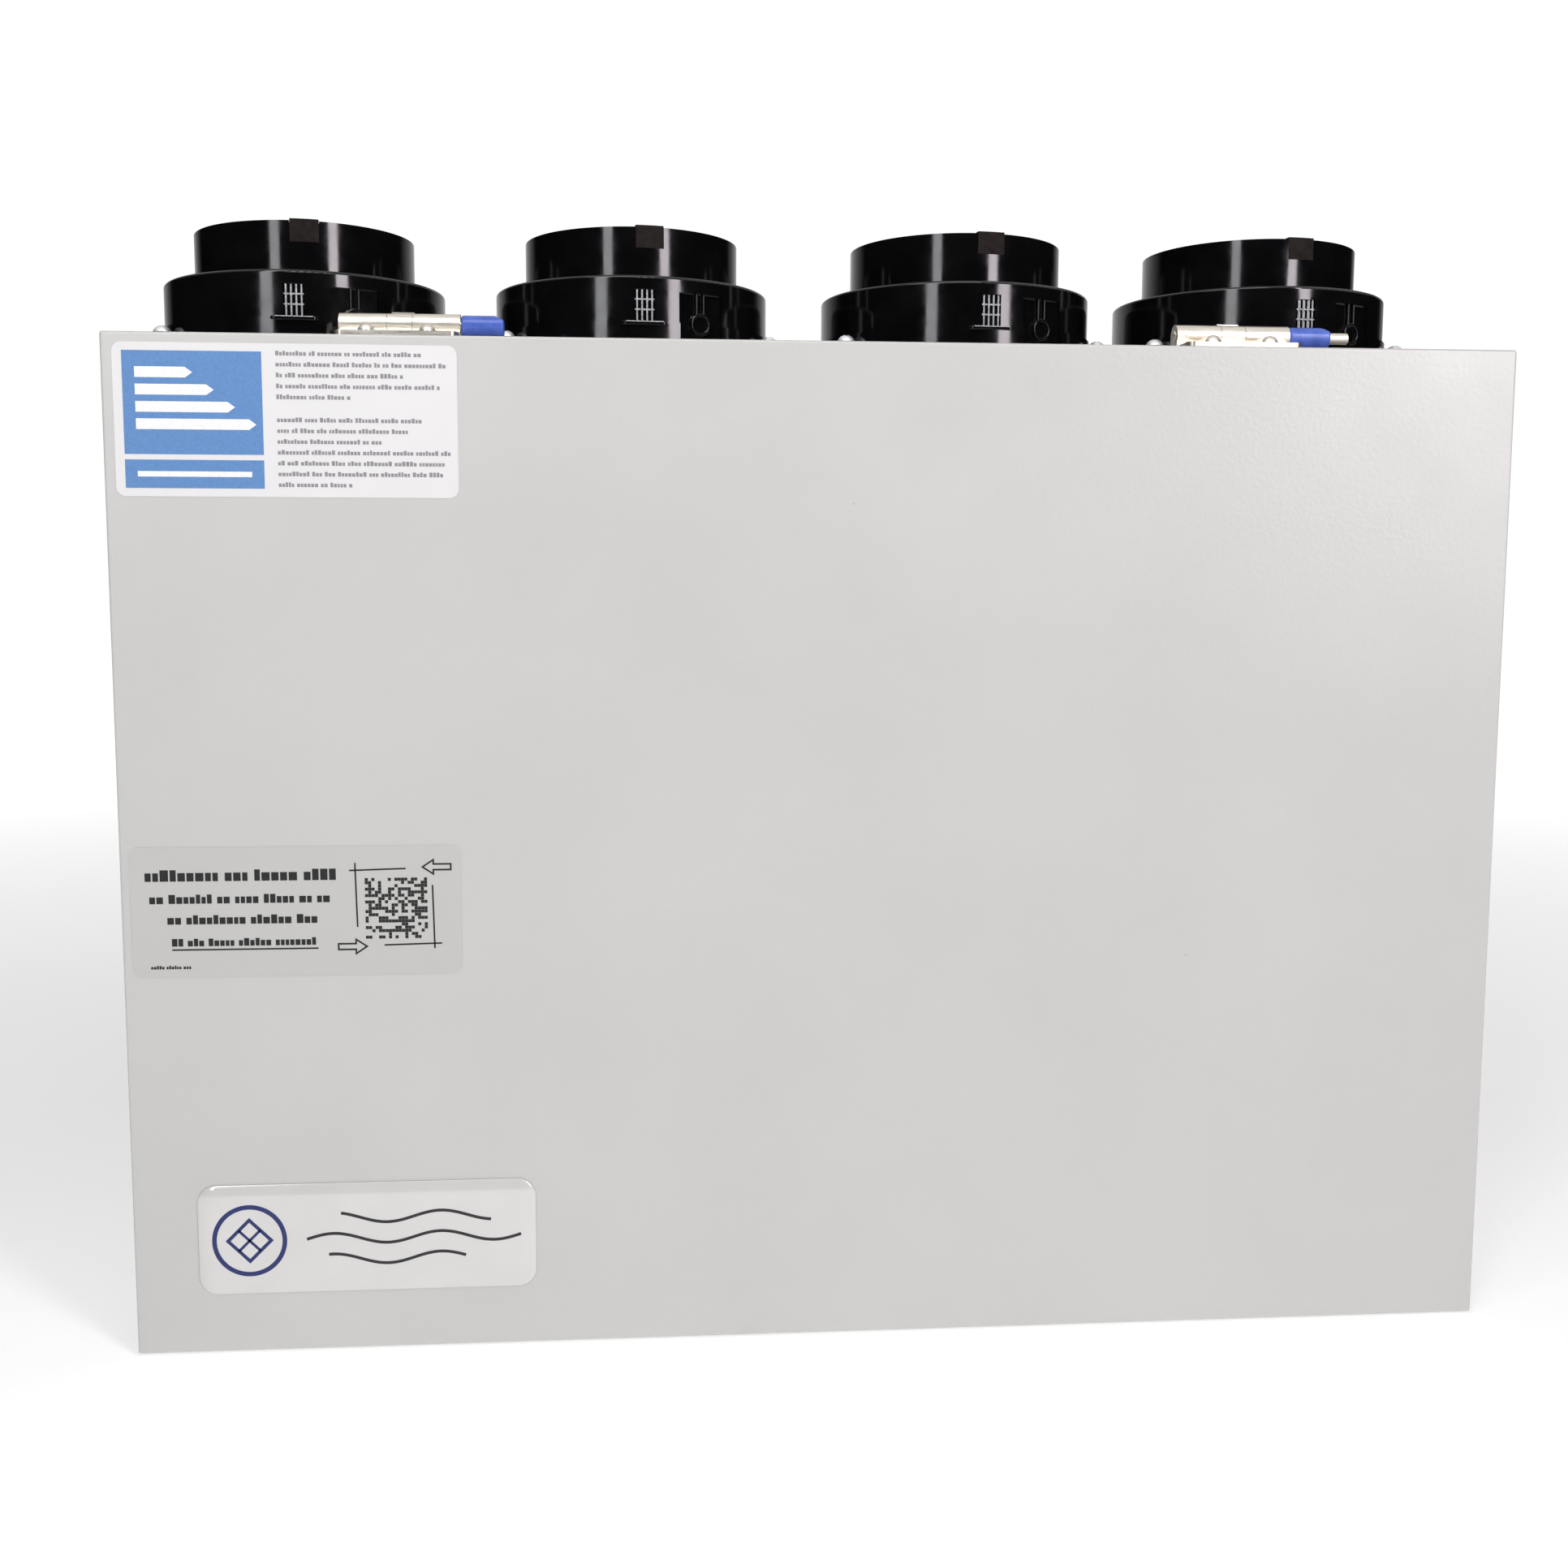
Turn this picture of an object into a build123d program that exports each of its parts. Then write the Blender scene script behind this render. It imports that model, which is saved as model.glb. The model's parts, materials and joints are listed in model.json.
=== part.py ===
"""Heat recovery unit: a cabinet with four duct collars, a lift-off door and a cross-flow core.

Frame: millimetres, +Z up, +X to the right seen from the front, the door faces -Y.
The origin is the centre of the cabinet's footprint, on the plane it stands on.
"""
from build123d import *
from math import cos, radians, sin
import os

os.makedirs("parts", exist_ok=True)

# ---------------------------------------------------------------- driving dimensions
WIDTH = 603.0
HEIGHT = 438.0
DEPTH = 229.0
SHEET = 1.2
FIT = 0.1
DOOR_DEPTH = 23.0
DOOR_GAP = 2.0
FOAM = 23.7
SIDE_FOAM = 19.7
FLANGE = 14.0
BEND_RADIUS = 1.2

PORT_X = (-234.0, -83.0, 71.0, 215.0)
PORT_NAMES = ("outdoor_air_port", "stale_air_port", "fresh_air_port", "exhaust_air_port")
PORT_SETBACK = 99.0
DUCT_5IN_RADIUS = 63.4
DUCT_4IN_RADIUS = 49.5
COLLAR_WALL = 2.2
PORT_HOLE = 50.0
PILOT_HOLE = 1.65
FOOT_RADIUS = 64.4
SHELF_HEIGHT = 32.2
COLLAR_HEIGHT = 55.4
COLLAR_TAIL = 12.0
STOP_HEIGHT = 12.2
GRIP_TOP = 26.2
GRIP_ANGLES = (4.5, 124.5, -115.5)
EAR_ANGLES = (-55.5, 64.5, 184.5)
EAR_CIRCLE = 69.0
EAR_HEIGHT = 8.0
CLIP_ANGLE = 9.0
GRIP_HALF = 4.5
GRIP_DEPTH = 1.2
RIB = 0.55
RIB_X = (-3.3, -1.1, 1.1, 3.3)
RIB_Z = (17.4, 21.8)
LEDGE_HALF = 10.0
LEDGE_REACH = 2.2
LEDGE = 1.3
EAR_RADIUS = 5.2
EAR_BORE = 1.9
LATCH_ANGLE = 28.5
LATCH_SPREAD = 9.9
LATCH_BOSS = 5.0
CLIP_HALF = 6.25
CLIP_DROP = 9.0
CLIP_SKIN = 0.9
CLIP_TOP = 0.7
CLIP_RISE = 0.8

HINGE_X = (-182.4, 181.4)
HINGE_WIDTH = 51.0
CENTRE_KNUCKLE = 10.6
HINGE_SETBACK = 24.5
HINGE_RISE = 7.2
BARREL_RADIUS = 5.0
LEAF = 2.4
LEAF_REACH = 20.0
PIN_RADIUS = 2.5
GRIP_RADIUS = 4.6
GRIP_LENGTHS = (17.0, 19.0)
PIN_TAILS = (0.0, 9.0)
RIVET_SPACING = 25.4
RIVET_HEAD = 3.8
RIVET_RISE = 3.6
RIVET_AHEAD = 14.0
RIVET_BEHIND = 9.3
SHANK = 1.6
TAIL_RADIUS = 2.8
TAIL_HEIGHT = 1.4
TAIL_CLEARANCE = 3.4
SCREW_HEAD = 4.1
SCREW_RISE = 3.2
CROSS_HALF = 2.4
CROSS_FLOOR = 1.9

CORE_SIDE = 211.0
CORE_CENTRE_Z = 219.0
CORE_RAIL = 1.5
CORE_PITCH = 6.0
CORE_GAP = 2.4
CHANNEL_WALL_X = 152.0
PARTITION = 14.0

FAN_X = 221.5
FAN_Z = 100.0
SCROLL_RADIUS = 54.0
SCROLL_OUTLET = 42.0
IMPELLER_RADIUS = 46.0
SHAFT_RADIUS = 4.0
BLADES = 9

FLAP_AXIS_X = -171.5
FLAP_AXIS_Z = 404.0
FLAP_HALF = 43.0
FLAP_BOTTOM = 336.0

DRAIN_X = (-75.0, 75.0)
DRAIN_Y = 30.0
DRAIN_BORE = 8.0

PLATE_Y = (-8.0, 92.0)
PLATE_Z = (148.0, 288.0)
BUTTON_Y = 42.0
BUTTON_Z = 262.0
BUTTON_RADIUS = 5.0
LENS_Z = 240.0
GLAND_Z = 176.0

BRACKET_SPACING = 406.4
BRACKET_HOLE = 3.5
STANDOFF = 11.5

BADGE = (-274.0, -128.4, 27.6, 76.4)
EFFICIENCY_LABEL = (-296.7, -156.8, 371.1, 433.7)
INFO_LABEL = (-297.4, -158.5, 168.4, 224.4)
LABEL = 0.2

# ---------------------------------------------------------------- derived planes
HALF = WIDTH / 2
FRONT = -DEPTH / 2
BACK = DEPTH / 2
DOOR_BACK = FRONT + DOOR_DEPTH
CABINET_FRONT = DOOR_BACK + DOOR_GAP
INSIDE = CABINET_FRONT + SHEET + FIT
FLOOR = FOAM + SHEET + FIT
CEILING = HEIGHT - SHEET - FIT - FOAM
REAR_FOAM = BACK - SHEET - FIT - SIDE_FOAM
SIDE_INNER = HALF - SHEET
PORT_Y = FRONT + PORT_SETBACK
HINGE_Y = FRONT + HINGE_SETBACK
HINGE_Z = HEIGHT + HINGE_RISE
NECK_TOP = HINGE_Z - 2.9
PIN_BORE = PIN_RADIUS + 0.05
LATCH_HALF = DUCT_5IN_RADIUS * sin(radians(LATCH_SPREAD))
LATCH_FLOOR = DUCT_5IN_RADIUS * cos(radians(LATCH_SPREAD)) - 1.0


# ---------------------------------------------------------------- shape helpers
def block(x0, x1, y0, y1, z0, z1):
    centre = Location(((x0 + x1) / 2, (y0 + y1) / 2, (z0 + z1) / 2))
    return centre * Box(x1 - x0, y1 - y0, z1 - z0)


def rod_x(radius, x0, x1, y, z):
    return Location(((x0 + x1) / 2, y, z)) * Rot(0, 90, 0) * Cylinder(radius, x1 - x0)


def rod_y(radius, x, y0, y1, z):
    return Location((x, (y0 + y1) / 2, z)) * Rot(90, 0, 0) * Cylinder(radius, y1 - y0)


def rod_z(radius, x, y, z0, z1):
    return Location((x, y, (z0 + z1) / 2)) * Cylinder(radius, z1 - z0)


def round_plate(x0, x1, z0, z1, y0, y1, radius):
    """Flat plate with rounded corners, standing upright and facing -Y."""
    outline = RectangleRounded(x1 - x0, z1 - z0, radius)
    plate = extrude(outline, amount=(y1 - y0) / 2, both=True)
    return Location(((x0 + x1) / 2, (y0 + y1) / 2, (z0 + z1) / 2)) * Rot(90, 0, 0) * plate


def around(port_x, angle, radius):
    """Point on a circle round a port; angle 0 faces the front and grows to the right."""
    turn = radians(angle)
    return port_x + radius * sin(turn), PORT_Y - radius * cos(turn)


def at_port(shape, port_x, angle):
    """Turns a shape made facing the front about the port's axis, then moves it there."""
    return Location((port_x, PORT_Y, HEIGHT)) * Rot(0, 0, angle) * shape


def domed_head(x, y, z, radius, height):
    """Low dome with its flat underside at height z."""
    sphere = (radius ** 2 + height ** 2) / (2 * height)
    ball = Location((x, y, z + height - sphere)) * Sphere(sphere)
    return ball & block(x - radius, x + radius, y - radius, y + radius, z, z + height)


def core_box(across, along, y0, y1):
    """Box centred on the core, turned 45 degrees about the Y axis."""
    centre = Location((0, (y0 + y1) / 2, CORE_CENTRE_Z))
    return centre * Rot(0, 45, 0) * Box(across, y1 - y0, along)


# ---------------------------------------------------------------- cabinet shell
def screw_places():
    """Centres of the twelve collar screws."""
    return [around(x, angle, EAR_CIRCLE) for x in PORT_X for angle in EAR_ANGLES]


def plate_corners():
    inset = 4.0
    ys = (PLATE_Y[0] + inset, PLATE_Y[1] - inset)
    zs = (PLATE_Z[0] + inset, PLATE_Z[1] - inset)
    return [(y, z) for y in ys for z in zs]


def cabinet_bottom():
    """Bottom sheet between the two sides, folded up at the front."""
    edge = SIDE_INNER - FIT
    sheet = block(-edge, edge, CABINET_FRONT, BACK, 0, SHEET)
    sheet += block(-edge, edge, CABINET_FRONT, CABINET_FRONT + SHEET, 0, FLANGE)
    fold = sheet.edges().filter_by(Axis.X).group_by(Axis.Z)[0].sort_by(Axis.Y)[0]
    sheet = fillet(fold, BEND_RADIUS)
    for x in DRAIN_X:
        sheet -= rod_z(DRAIN_BORE + 3.5, x, DRAIN_Y, -1, FLANGE)
    return sheet


def cabinet_side():
    """Right side sheet, folded in at the front."""
    sheet = block(SIDE_INNER, HALF, CABINET_FRONT, BACK, 0, HEIGHT)
    top = HEIGHT - SHEET - FIT
    sheet += block(HALF - FLANGE, HALF, CABINET_FRONT, CABINET_FRONT + SHEET, FLANGE + FIT, top)
    fold = sheet.edges().filter_by(Axis.Z).group_by(Axis.Y)[0].sort_by(Axis.X)[-1]
    return fillet(fold, BEND_RADIUS)


def service_side():
    """Right side sheet with the window and screw holes of the service plate."""
    sheet = cabinet_side()
    sheet -= block(HALF - FLANGE, HALF + 1, 2, 82, PLATE_Z[0] + 10, PLATE_Z[1] - 10)
    for y, z in plate_corners():
        sheet -= rod_x(PILOT_HOLE, HALF - 5, HALF + 1, y, z)
    return sheet


def top_panel():
    edge = SIDE_INNER - FIT
    panel = block(-edge, edge, CABINET_FRONT, BACK, HEIGHT - SHEET, HEIGHT)
    lip = edge - FLANGE
    panel += block(-lip, lip, CABINET_FRONT, CABINET_FRONT + SHEET, HEIGHT - FLANGE, HEIGHT)
    for x in PORT_X:
        panel -= rod_z(PORT_HOLE, x, PORT_Y, HEIGHT - 5, HEIGHT + 5)
    for x, y in screw_places():
        panel -= rod_z(PILOT_HOLE, x, y, HEIGHT - 5, HEIGHT + 5)
    for x, y in rear_rivet_places():
        panel -= rod_z(PILOT_HOLE, x, y, HEIGHT - 5, HEIGHT + 5)
    return panel


def back_panel():
    edge = SIDE_INNER - FIT
    top = HEIGHT - SHEET - FIT
    panel = block(-edge, edge, BACK - SHEET, BACK, SHEET + FIT, top)
    for z in (0.3 * HEIGHT, 0.62 * HEIGHT):
        bead = round_plate(-edge + 45, edge - 45, z - 6, z + 6, BACK - SHEET - 1, BACK - 0.6, 5.9)
        panel -= bead
    return panel


# ---------------------------------------------------------------- foam lining
def insulation_top():
    edge = SIDE_INNER - FIT
    slab = block(-edge, edge, INSIDE, BACK - SHEET - FIT, CEILING, CEILING + FOAM)
    for x in PORT_X:
        slab -= rod_z(PORT_HOLE, x, PORT_Y, CEILING - 1, HEIGHT)
    for x, y in screw_places():
        slab -= rod_z(2.2, x, y, HEIGHT - 12, HEIGHT)
    for x, y in rear_rivet_places():
        slab -= rod_z(TAIL_CLEARANCE, x, y, HEIGHT - 6, HEIGHT)
    return slab


def insulation_bottom():
    edge = SIDE_INNER - FIT
    slab = block(-edge, edge, INSIDE, BACK - SHEET - FIT, SHEET + FIT, FLOOR)
    for x in DRAIN_X:
        slab -= rod_z(DRAIN_BORE + 3.2, x, DRAIN_Y, 0, FLOOR + 1)
    return slab


def insulation_back():
    edge = SIDE_INNER - FIT
    return block(-edge, edge, REAR_FOAM, BACK - SHEET - FIT, FLOOR, CEILING)


def insulation_left():
    edge = SIDE_INNER - FIT
    return block(-edge, -edge + SIDE_FOAM, INSIDE, REAR_FOAM, FLOOR, CEILING)


def insulation_right():
    edge = SIDE_INNER - FIT
    slab = block(edge - FOAM, edge, INSIDE, REAR_FOAM, FLOOR, CEILING)
    slab -= block(TRAY_X[0] - FIT, edge + 1, TRAY_Y[0] - FIT, TRAY_Y[1] + FIT,
                  TRAY_Z[0] - FIT, TRAY_Z[1] + FIT)
    for y, z in plate_corners():
        slab -= rod_x(2.2, edge - 6, edge + 1, y, z)
    return slab


def channel_wall(side):
    x0, x1 = sorted((side * CHANNEL_WALL_X, side * (CHANNEL_WALL_X + PARTITION)))
    return block(x0, x1, INSIDE, REAR_FOAM, FLOOR, CEILING)


def partition_left():
    """Wall beside the outdoor air channel: fan outlet at the foot, defrost window on top."""
    wall = channel_wall(-1)
    outlet_top = FAN_Z - SCROLL_RADIUS + SCROLL_OUTLET
    outlet_bottom = FAN_Z - SCROLL_RADIUS
    reach = CHANNEL_WALL_X + PARTITION + 1
    wall -= block(-reach, -CHANNEL_WALL_X + 1, HOUSING_Y[0] - FIT, HOUSING_Y[1] + FIT,
                  outlet_bottom - FIT, outlet_top + FIT)
    wall -= block(-reach, -CHANNEL_WALL_X + 1, -FLAP_HALF - 1, FLAP_HALF + 1,
                  FLAP_BOTTOM - 4, FLAP_AXIS_Z - 10)
    return wall


def partition_right():
    """Wall beside the exhaust channel, with a shelf that the fan blows up through."""
    wall = channel_wall(1)
    wall -= block(CHANNEL_WALL_X - 1, CHANNEL_WALL_X + PARTITION + 1, INSIDE + 4, HOUSING_Y[0] - 8,
                  FLOOR + 26, SHELF_Z[0] - 8)
    shelf_end = SIDE_INNER - FIT - FOAM
    wall += block(CHANNEL_WALL_X, shelf_end, INSIDE, REAR_FOAM, SHELF_Z[0], SHELF_Z[1])
    outer = FAN_X + SCROLL_RADIUS
    wall -= block(outer - SCROLL_OUTLET - FIT, shelf_end + 1, HOUSING_Y[0] - FIT, HOUSING_Y[1] + FIT,
                  SHELF_Z[0] - 1, SHELF_Z[1] + 1)
    return wall


def core_partitions():
    """Foam fins that keep the two air streams apart above and below the core."""
    corner = CORE_HALF_DIAGONAL + FIT
    upper = block(-6, 6, INSIDE, REAR_FOAM, CORE_CENTRE_Z + corner, CEILING)
    lower = block(-6, 6, INSIDE, REAR_FOAM, PAN_TOP, CORE_CENTRE_Z - corner)
    return Compound(children=[upper, lower])


# ---------------------------------------------------------------- duct collars
def collar_blank():
    """Stepped collar on its own axis: a 5 in skirt on a thicker foot, a shelf and a 4 in spigot."""
    skirt = rod_z(DUCT_5IN_RADIUS, 0, 0, 0, SHELF_HEIGHT)
    skirt += rod_z(FOOT_RADIUS, 0, 0, 0, STOP_HEIGHT)
    skirt -= rod_z(DUCT_5IN_RADIUS - COLLAR_WALL, 0, 0, -1, SHELF_HEIGHT - COLLAR_WALL)
    shelf_edge = skirt.edges().filter_by(GeomType.CIRCLE).group_by(Axis.Z)[-1]
    skirt = fillet(shelf_edge, 1.4)
    spigot = rod_z(DUCT_4IN_RADIUS, 0, 0, -COLLAR_TAIL, COLLAR_HEIGHT)
    collar = skirt + spigot
    collar -= rod_z(DUCT_4IN_RADIUS - COLLAR_WALL, 0, 0, -COLLAR_TAIL - 1, COLLAR_HEIGHT + 1)
    return collar


def grip_recess(angle):
    """Shallow window in the skirt."""
    outer = DUCT_5IN_RADIUS
    window = block(-GRIP_HALF, GRIP_HALF, -outer - 1, -outer + GRIP_DEPTH, STOP_HEIGHT, GRIP_TOP)
    return Rot(0, 0, angle) * window


def grip_ribs(angle):
    """Round ribs that stand in a window, flush with the skirt."""
    ribs = []
    for x in RIB_X:
        face = -(DUCT_5IN_RADIUS ** 2 - x ** 2) ** 0.5
        ribs.append(rod_z(RIB, x, face + RIB + 0.05, STOP_HEIGHT - 0.5, GRIP_TOP + 0.5))
    for z in RIB_Z:
        ribs.append(rod_x(RIB, -GRIP_HALF, GRIP_HALF, -DUCT_5IN_RADIUS + RIB + 0.25, z))
    return [Rot(0, 0, angle) * piece for piece in ribs]


def latch_pocket():
    """Wider pocket beside the front grip."""
    outer = DUCT_5IN_RADIUS
    pocket = block(-LATCH_HALF, LATCH_HALF, -outer - 1, -LATCH_FLOOR, 0.8, 25.5)
    return Rot(0, 0, LATCH_ANGLE) * pocket


def latch_trim():
    """Screw boss with a round lip, and two guide ribs, in the latch pocket."""
    face = -LATCH_FLOOR - 1.9
    boss = rod_y(LATCH_BOSS, 0, face, -LATCH_FLOOR + 1, STOP_HEIGHT)
    boss -= rod_y(LATCH_BOSS - 1.4, 0, face - 1, -LATCH_FLOOR - 0.8, STOP_HEIGHT)
    lip = boss.edges().filter_by(GeomType.CIRCLE).group_by(Axis.Y)[0]
    trim = [fillet(lip, 0.45)]
    for x in (-1.8, 1.8):
        trim.append(rod_z(RIB, x, -LATCH_FLOOR - 0.7, STOP_HEIGHT + 4.4, GRIP_TOP - 0.2))
    return [Rot(0, 0, LATCH_ANGLE) * piece for piece in trim]


def skirt_trim():
    """What stands on the collar's foot: the duct stops and three screw ears."""
    outer = DUCT_5IN_RADIUS
    trim = []
    for angle in GRIP_ANGLES:
        ledge = block(-LEDGE_HALF, LEDGE_HALF, -outer - LEDGE_REACH, -outer + 2,
                      STOP_HEIGHT - LEDGE, STOP_HEIGHT)
        ledge = fillet(ledge.edges().filter_by(Axis.Z).group_by(Axis.Y)[0], 1.8)
        ledge = fillet(ledge.faces().sort_by(Axis.Z)[-1].edges().group_by(Axis.Y)[0], 0.5)
        trim.append(Rot(0, 0, angle) * ledge)
    for angle in EAR_ANGLES:
        ear = rod_z(EAR_RADIUS, 0, -EAR_CIRCLE, 0, EAR_HEIGHT)
        ear += block(-EAR_RADIUS, EAR_RADIUS, -EAR_CIRCLE, -outer + 1.2, 0, EAR_HEIGHT)
        trim.append(Rot(0, 0, angle) * ear)
    return trim


def clip_slot():
    """Notch in the rim that the identification clip lies in."""
    foot = COLLAR_HEIGHT - CLIP_DROP - FIT
    half = CLIP_HALF + FIT
    wrap = rod_z(DUCT_4IN_RADIUS + 1, 0, 0, foot, COLLAR_HEIGHT + 1)
    wrap -= rod_z(DUCT_4IN_RADIUS - CLIP_SKIN, 0, 0, foot - 1, COLLAR_HEIGHT - CLIP_TOP)
    wrap &= block(-half, half, -DUCT_5IN_RADIUS, 0, 0, 2 * COLLAR_HEIGHT)
    return Rot(0, 0, CLIP_ANGLE) * wrap


def port_collar(port_x):
    collar = collar_blank()
    for angle in GRIP_ANGLES:
        collar -= grip_recess(angle)
        collar += grip_ribs(angle)
    collar -= latch_pocket()
    collar += latch_trim() + skirt_trim()
    for angle in EAR_ANGLES:
        x, y = around(0, angle, EAR_CIRCLE)
        collar -= rod_z(EAR_BORE, x, y - PORT_Y, -1, EAR_HEIGHT + 1)
    collar -= clip_slot()
    return Location((port_x, PORT_Y, HEIGHT)) * collar


def port_clips():
    """Spring clips hooked over the rim of each collar, with a bridge that stands above it."""
    bore = DUCT_4IN_RADIUS - COLLAR_WALL
    top = COLLAR_HEIGHT + CLIP_RISE
    outer = rod_z(DUCT_4IN_RADIUS, 0, 0, COLLAR_HEIGHT - CLIP_DROP, top)
    outer -= rod_z(bore - CLIP_SKIN, 0, 0, 0, top + 1)
    wall = rod_z(DUCT_4IN_RADIUS - CLIP_SKIN, 0, 0, 0, COLLAR_HEIGHT - CLIP_TOP)
    wall -= rod_z(bore, 0, 0, -1, COLLAR_HEIGHT)
    clip = (outer - wall) & block(-CLIP_HALF, CLIP_HALF, -DUCT_5IN_RADIUS, 0, 0, 2 * COLLAR_HEIGHT)
    return Compound(children=[at_port(clip, x, CLIP_ANGLE) for x in PORT_X])


def port_screws():
    screws = []
    seat = HEIGHT + EAR_HEIGHT
    for x, y in screw_places():
        floor = seat + CROSS_FLOOR
        screw = domed_head(x, y, seat, SCREW_HEAD, SCREW_RISE)
        screw += rod_z(SHANK, x, y, HEIGHT - 8, seat + 0.5)
        screw -= block(x - CROSS_HALF, x + CROSS_HALF, y - 0.5, y + 0.5, floor, seat + SCREW_RISE + 1)
        screw -= block(x - 0.5, x + 0.5, y - CROSS_HALF, y + CROSS_HALF, floor, seat + SCREW_RISE + 1)
        screws.append(screw)
    return Compound(children=screws)


# ---------------------------------------------------------------- door hinges
def knuckle(x0, x1):
    ring = rod_x(BARREL_RADIUS, x0, x1, HINGE_Y, HINGE_Z)
    return ring - rod_x(PIN_BORE, x0 - 1, x1 + 1, HINGE_Y, HINGE_Z)


def front_rivet_places():
    y = HINGE_Y - RIVET_AHEAD
    return [(x + s * RIVET_SPACING / 2, y) for x in HINGE_X for s in (-1, 1)]


def rear_rivet_places():
    y = HINGE_Y + RIVET_BEHIND
    return [(x + s * RIVET_SPACING / 2, y) for x in HINGE_X for s in (-1, 1)]


def front_leaf(x):
    """Leaf on the door's top return, with the two outer knuckles."""
    left = x - HINGE_WIDTH / 2
    right = x + HINGE_WIDTH / 2
    leaf = block(left, right, HINGE_Y - LEAF_REACH, HINGE_Y - 1, HEIGHT, HEIGHT + LEAF)
    leaf = fillet(leaf.edges().filter_by(Axis.Z).group_by(Axis.Y)[0], 3.0)
    half_notch = CENTRE_KNUCKLE / 2 + 0.2
    ends = ((left, x - half_notch), (x + half_notch, right))
    for x0, x1 in ends:
        leaf += block(x0, x1, HINGE_Y - 4.2, HINGE_Y - 1, HEIGHT, NECK_TOP)
        leaf += knuckle(x0, x1)
    leaf -= rod_x(PIN_BORE, left - 1, right + 1, HINGE_Y, HINGE_Z)
    leaf -= block(x - half_notch, x + half_notch, HINGE_Y - 6, HINGE_Y + 6, HEIGHT - 1, HINGE_Z)
    for rivet_x, y in front_rivet_places():
        leaf -= rod_z(PILOT_HOLE, rivet_x, y, HEIGHT - 1, HEIGHT + 5)
    return leaf


def rear_leaf(x):
    """Leaf on the cabinet's top, with the middle knuckle and an upright stop tab."""
    left = x - HINGE_WIDTH / 2
    right = x + HINGE_WIDTH / 2
    half = CENTRE_KNUCKLE / 2
    leaf = block(left, right, HINGE_Y + 6, HINGE_Y + 15, HEIGHT, HEIGHT + LEAF)
    leaf += block(x - half, x + half, HINGE_Y + 1, HINGE_Y + 7, HEIGHT, NECK_TOP)
    leaf += knuckle(x - half, x + half)
    leaf += block(x - half + 1, x + half, HINGE_Y + 5.4, HINGE_Y + 6.8, HEIGHT, HINGE_Z + 6.4)
    leaf -= rod_x(PIN_BORE, left - 1, right + 1, HINGE_Y, HINGE_Z)
    for rivet_x, y in rear_rivet_places():
        leaf -= rod_z(PILOT_HOLE, rivet_x, y, HEIGHT - 1, HEIGHT + 5)
    for port_x in PORT_X:
        leaf -= rod_z(FOOT_RADIUS + 0.3, port_x, PORT_Y, HEIGHT - 1, HEIGHT + LEAF + 1)
    return leaf


def rivets(places):
    """Domed rivets through a leaf and the sheet under it."""
    made = []
    for x, y in places:
        rivet = domed_head(x, y, HEIGHT + LEAF, RIVET_HEAD, RIVET_RISE)
        rivet += rod_z(SHANK, x, y, HEIGHT - SHEET - TAIL_HEIGHT, HEIGHT + LEAF + 0.5)
        rivet += rod_z(TAIL_RADIUS, x, y, HEIGHT - SHEET - TAIL_HEIGHT, HEIGHT - SHEET)
        made.append(rivet)
    return Compound(children=made)


def hinge_pin(index):
    start = HINGE_X[index] - HINGE_WIDTH / 2 - 0.6
    end = HINGE_X[index] + HINGE_WIDTH / 2 + GRIP_LENGTHS[index] + PIN_TAILS[index]
    pin = rod_x(PIN_RADIUS, start, end, HINGE_Y, HINGE_Z)
    return chamfer(pin.edges().filter_by(GeomType.CIRCLE), 0.5)


def pin_grip(index):
    """Dipped vinyl sleeve on the pin's handle end, closed where the pin has no tail."""
    start = HINGE_X[index] + HINGE_WIDTH / 2 + 0.4
    bore_end = HINGE_X[index] + HINGE_WIDTH / 2 + GRIP_LENGTHS[index]
    end = bore_end - 0.2
    if not PIN_TAILS[index]:
        end += 1.6
    sleeve = rod_x(GRIP_RADIUS, start, end, HINGE_Y, HINGE_Z)
    sleeve = fillet(sleeve.edges().filter_by(GeomType.CIRCLE), 0.9)
    slant = Location((end - 0.6, HINGE_Y, HINGE_Z + GRIP_RADIUS)) * Rot(0, 30, 0)
    sleeve -= slant * Box(14, 12, 3.4)
    return sleeve - rod_x(PIN_RADIUS, start - 1, bore_end, HINGE_Y, HINGE_Z)


# ---------------------------------------------------------------- door
def door_skin():
    """Folded steel pan that forms the whole front, with a return flange behind."""
    bottom = SHEET
    pan = block(-HALF, HALF, FRONT, DOOR_BACK, bottom, HEIGHT)
    corners = pan.edges().filter_by(Axis.Y)
    front = pan.edges().group_by(Axis.Y)[0]
    pan = fillet(corners + front, BEND_RADIUS)
    inner = HALF - SHEET
    pan -= block(-inner, inner, FRONT + SHEET, DOOR_BACK - SHEET, bottom + SHEET, HEIGHT - SHEET)
    mouth = HALF - FLANGE
    pan -= block(-mouth, mouth, FRONT + SHEET, DOOR_BACK + 1, bottom + FLANGE, HEIGHT - FLANGE)
    for x, y in front_rivet_places():
        pan -= rod_z(PILOT_HOLE, x, y, HEIGHT - 5, HEIGHT + 5)
    return pan


def door_insulation():
    edge = HALF - SHEET - FIT
    slab = block(-edge, edge, FRONT + SHEET + FIT, DOOR_BACK - SHEET - FIT,
                 2 * SHEET + FIT, HEIGHT - SHEET - FIT)
    mouth = HALF - FLANGE - 0.5
    slab += block(-mouth, mouth, DOOR_BACK - SHEET - 1, DOOR_BACK,
                  SHEET + FLANGE + 0.5, HEIGHT - FLANGE - 0.5)
    for x, y in front_rivet_places():
        slab -= rod_z(TAIL_CLEARANCE, x, y, HEIGHT - 6, HEIGHT)
    return slab


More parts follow.
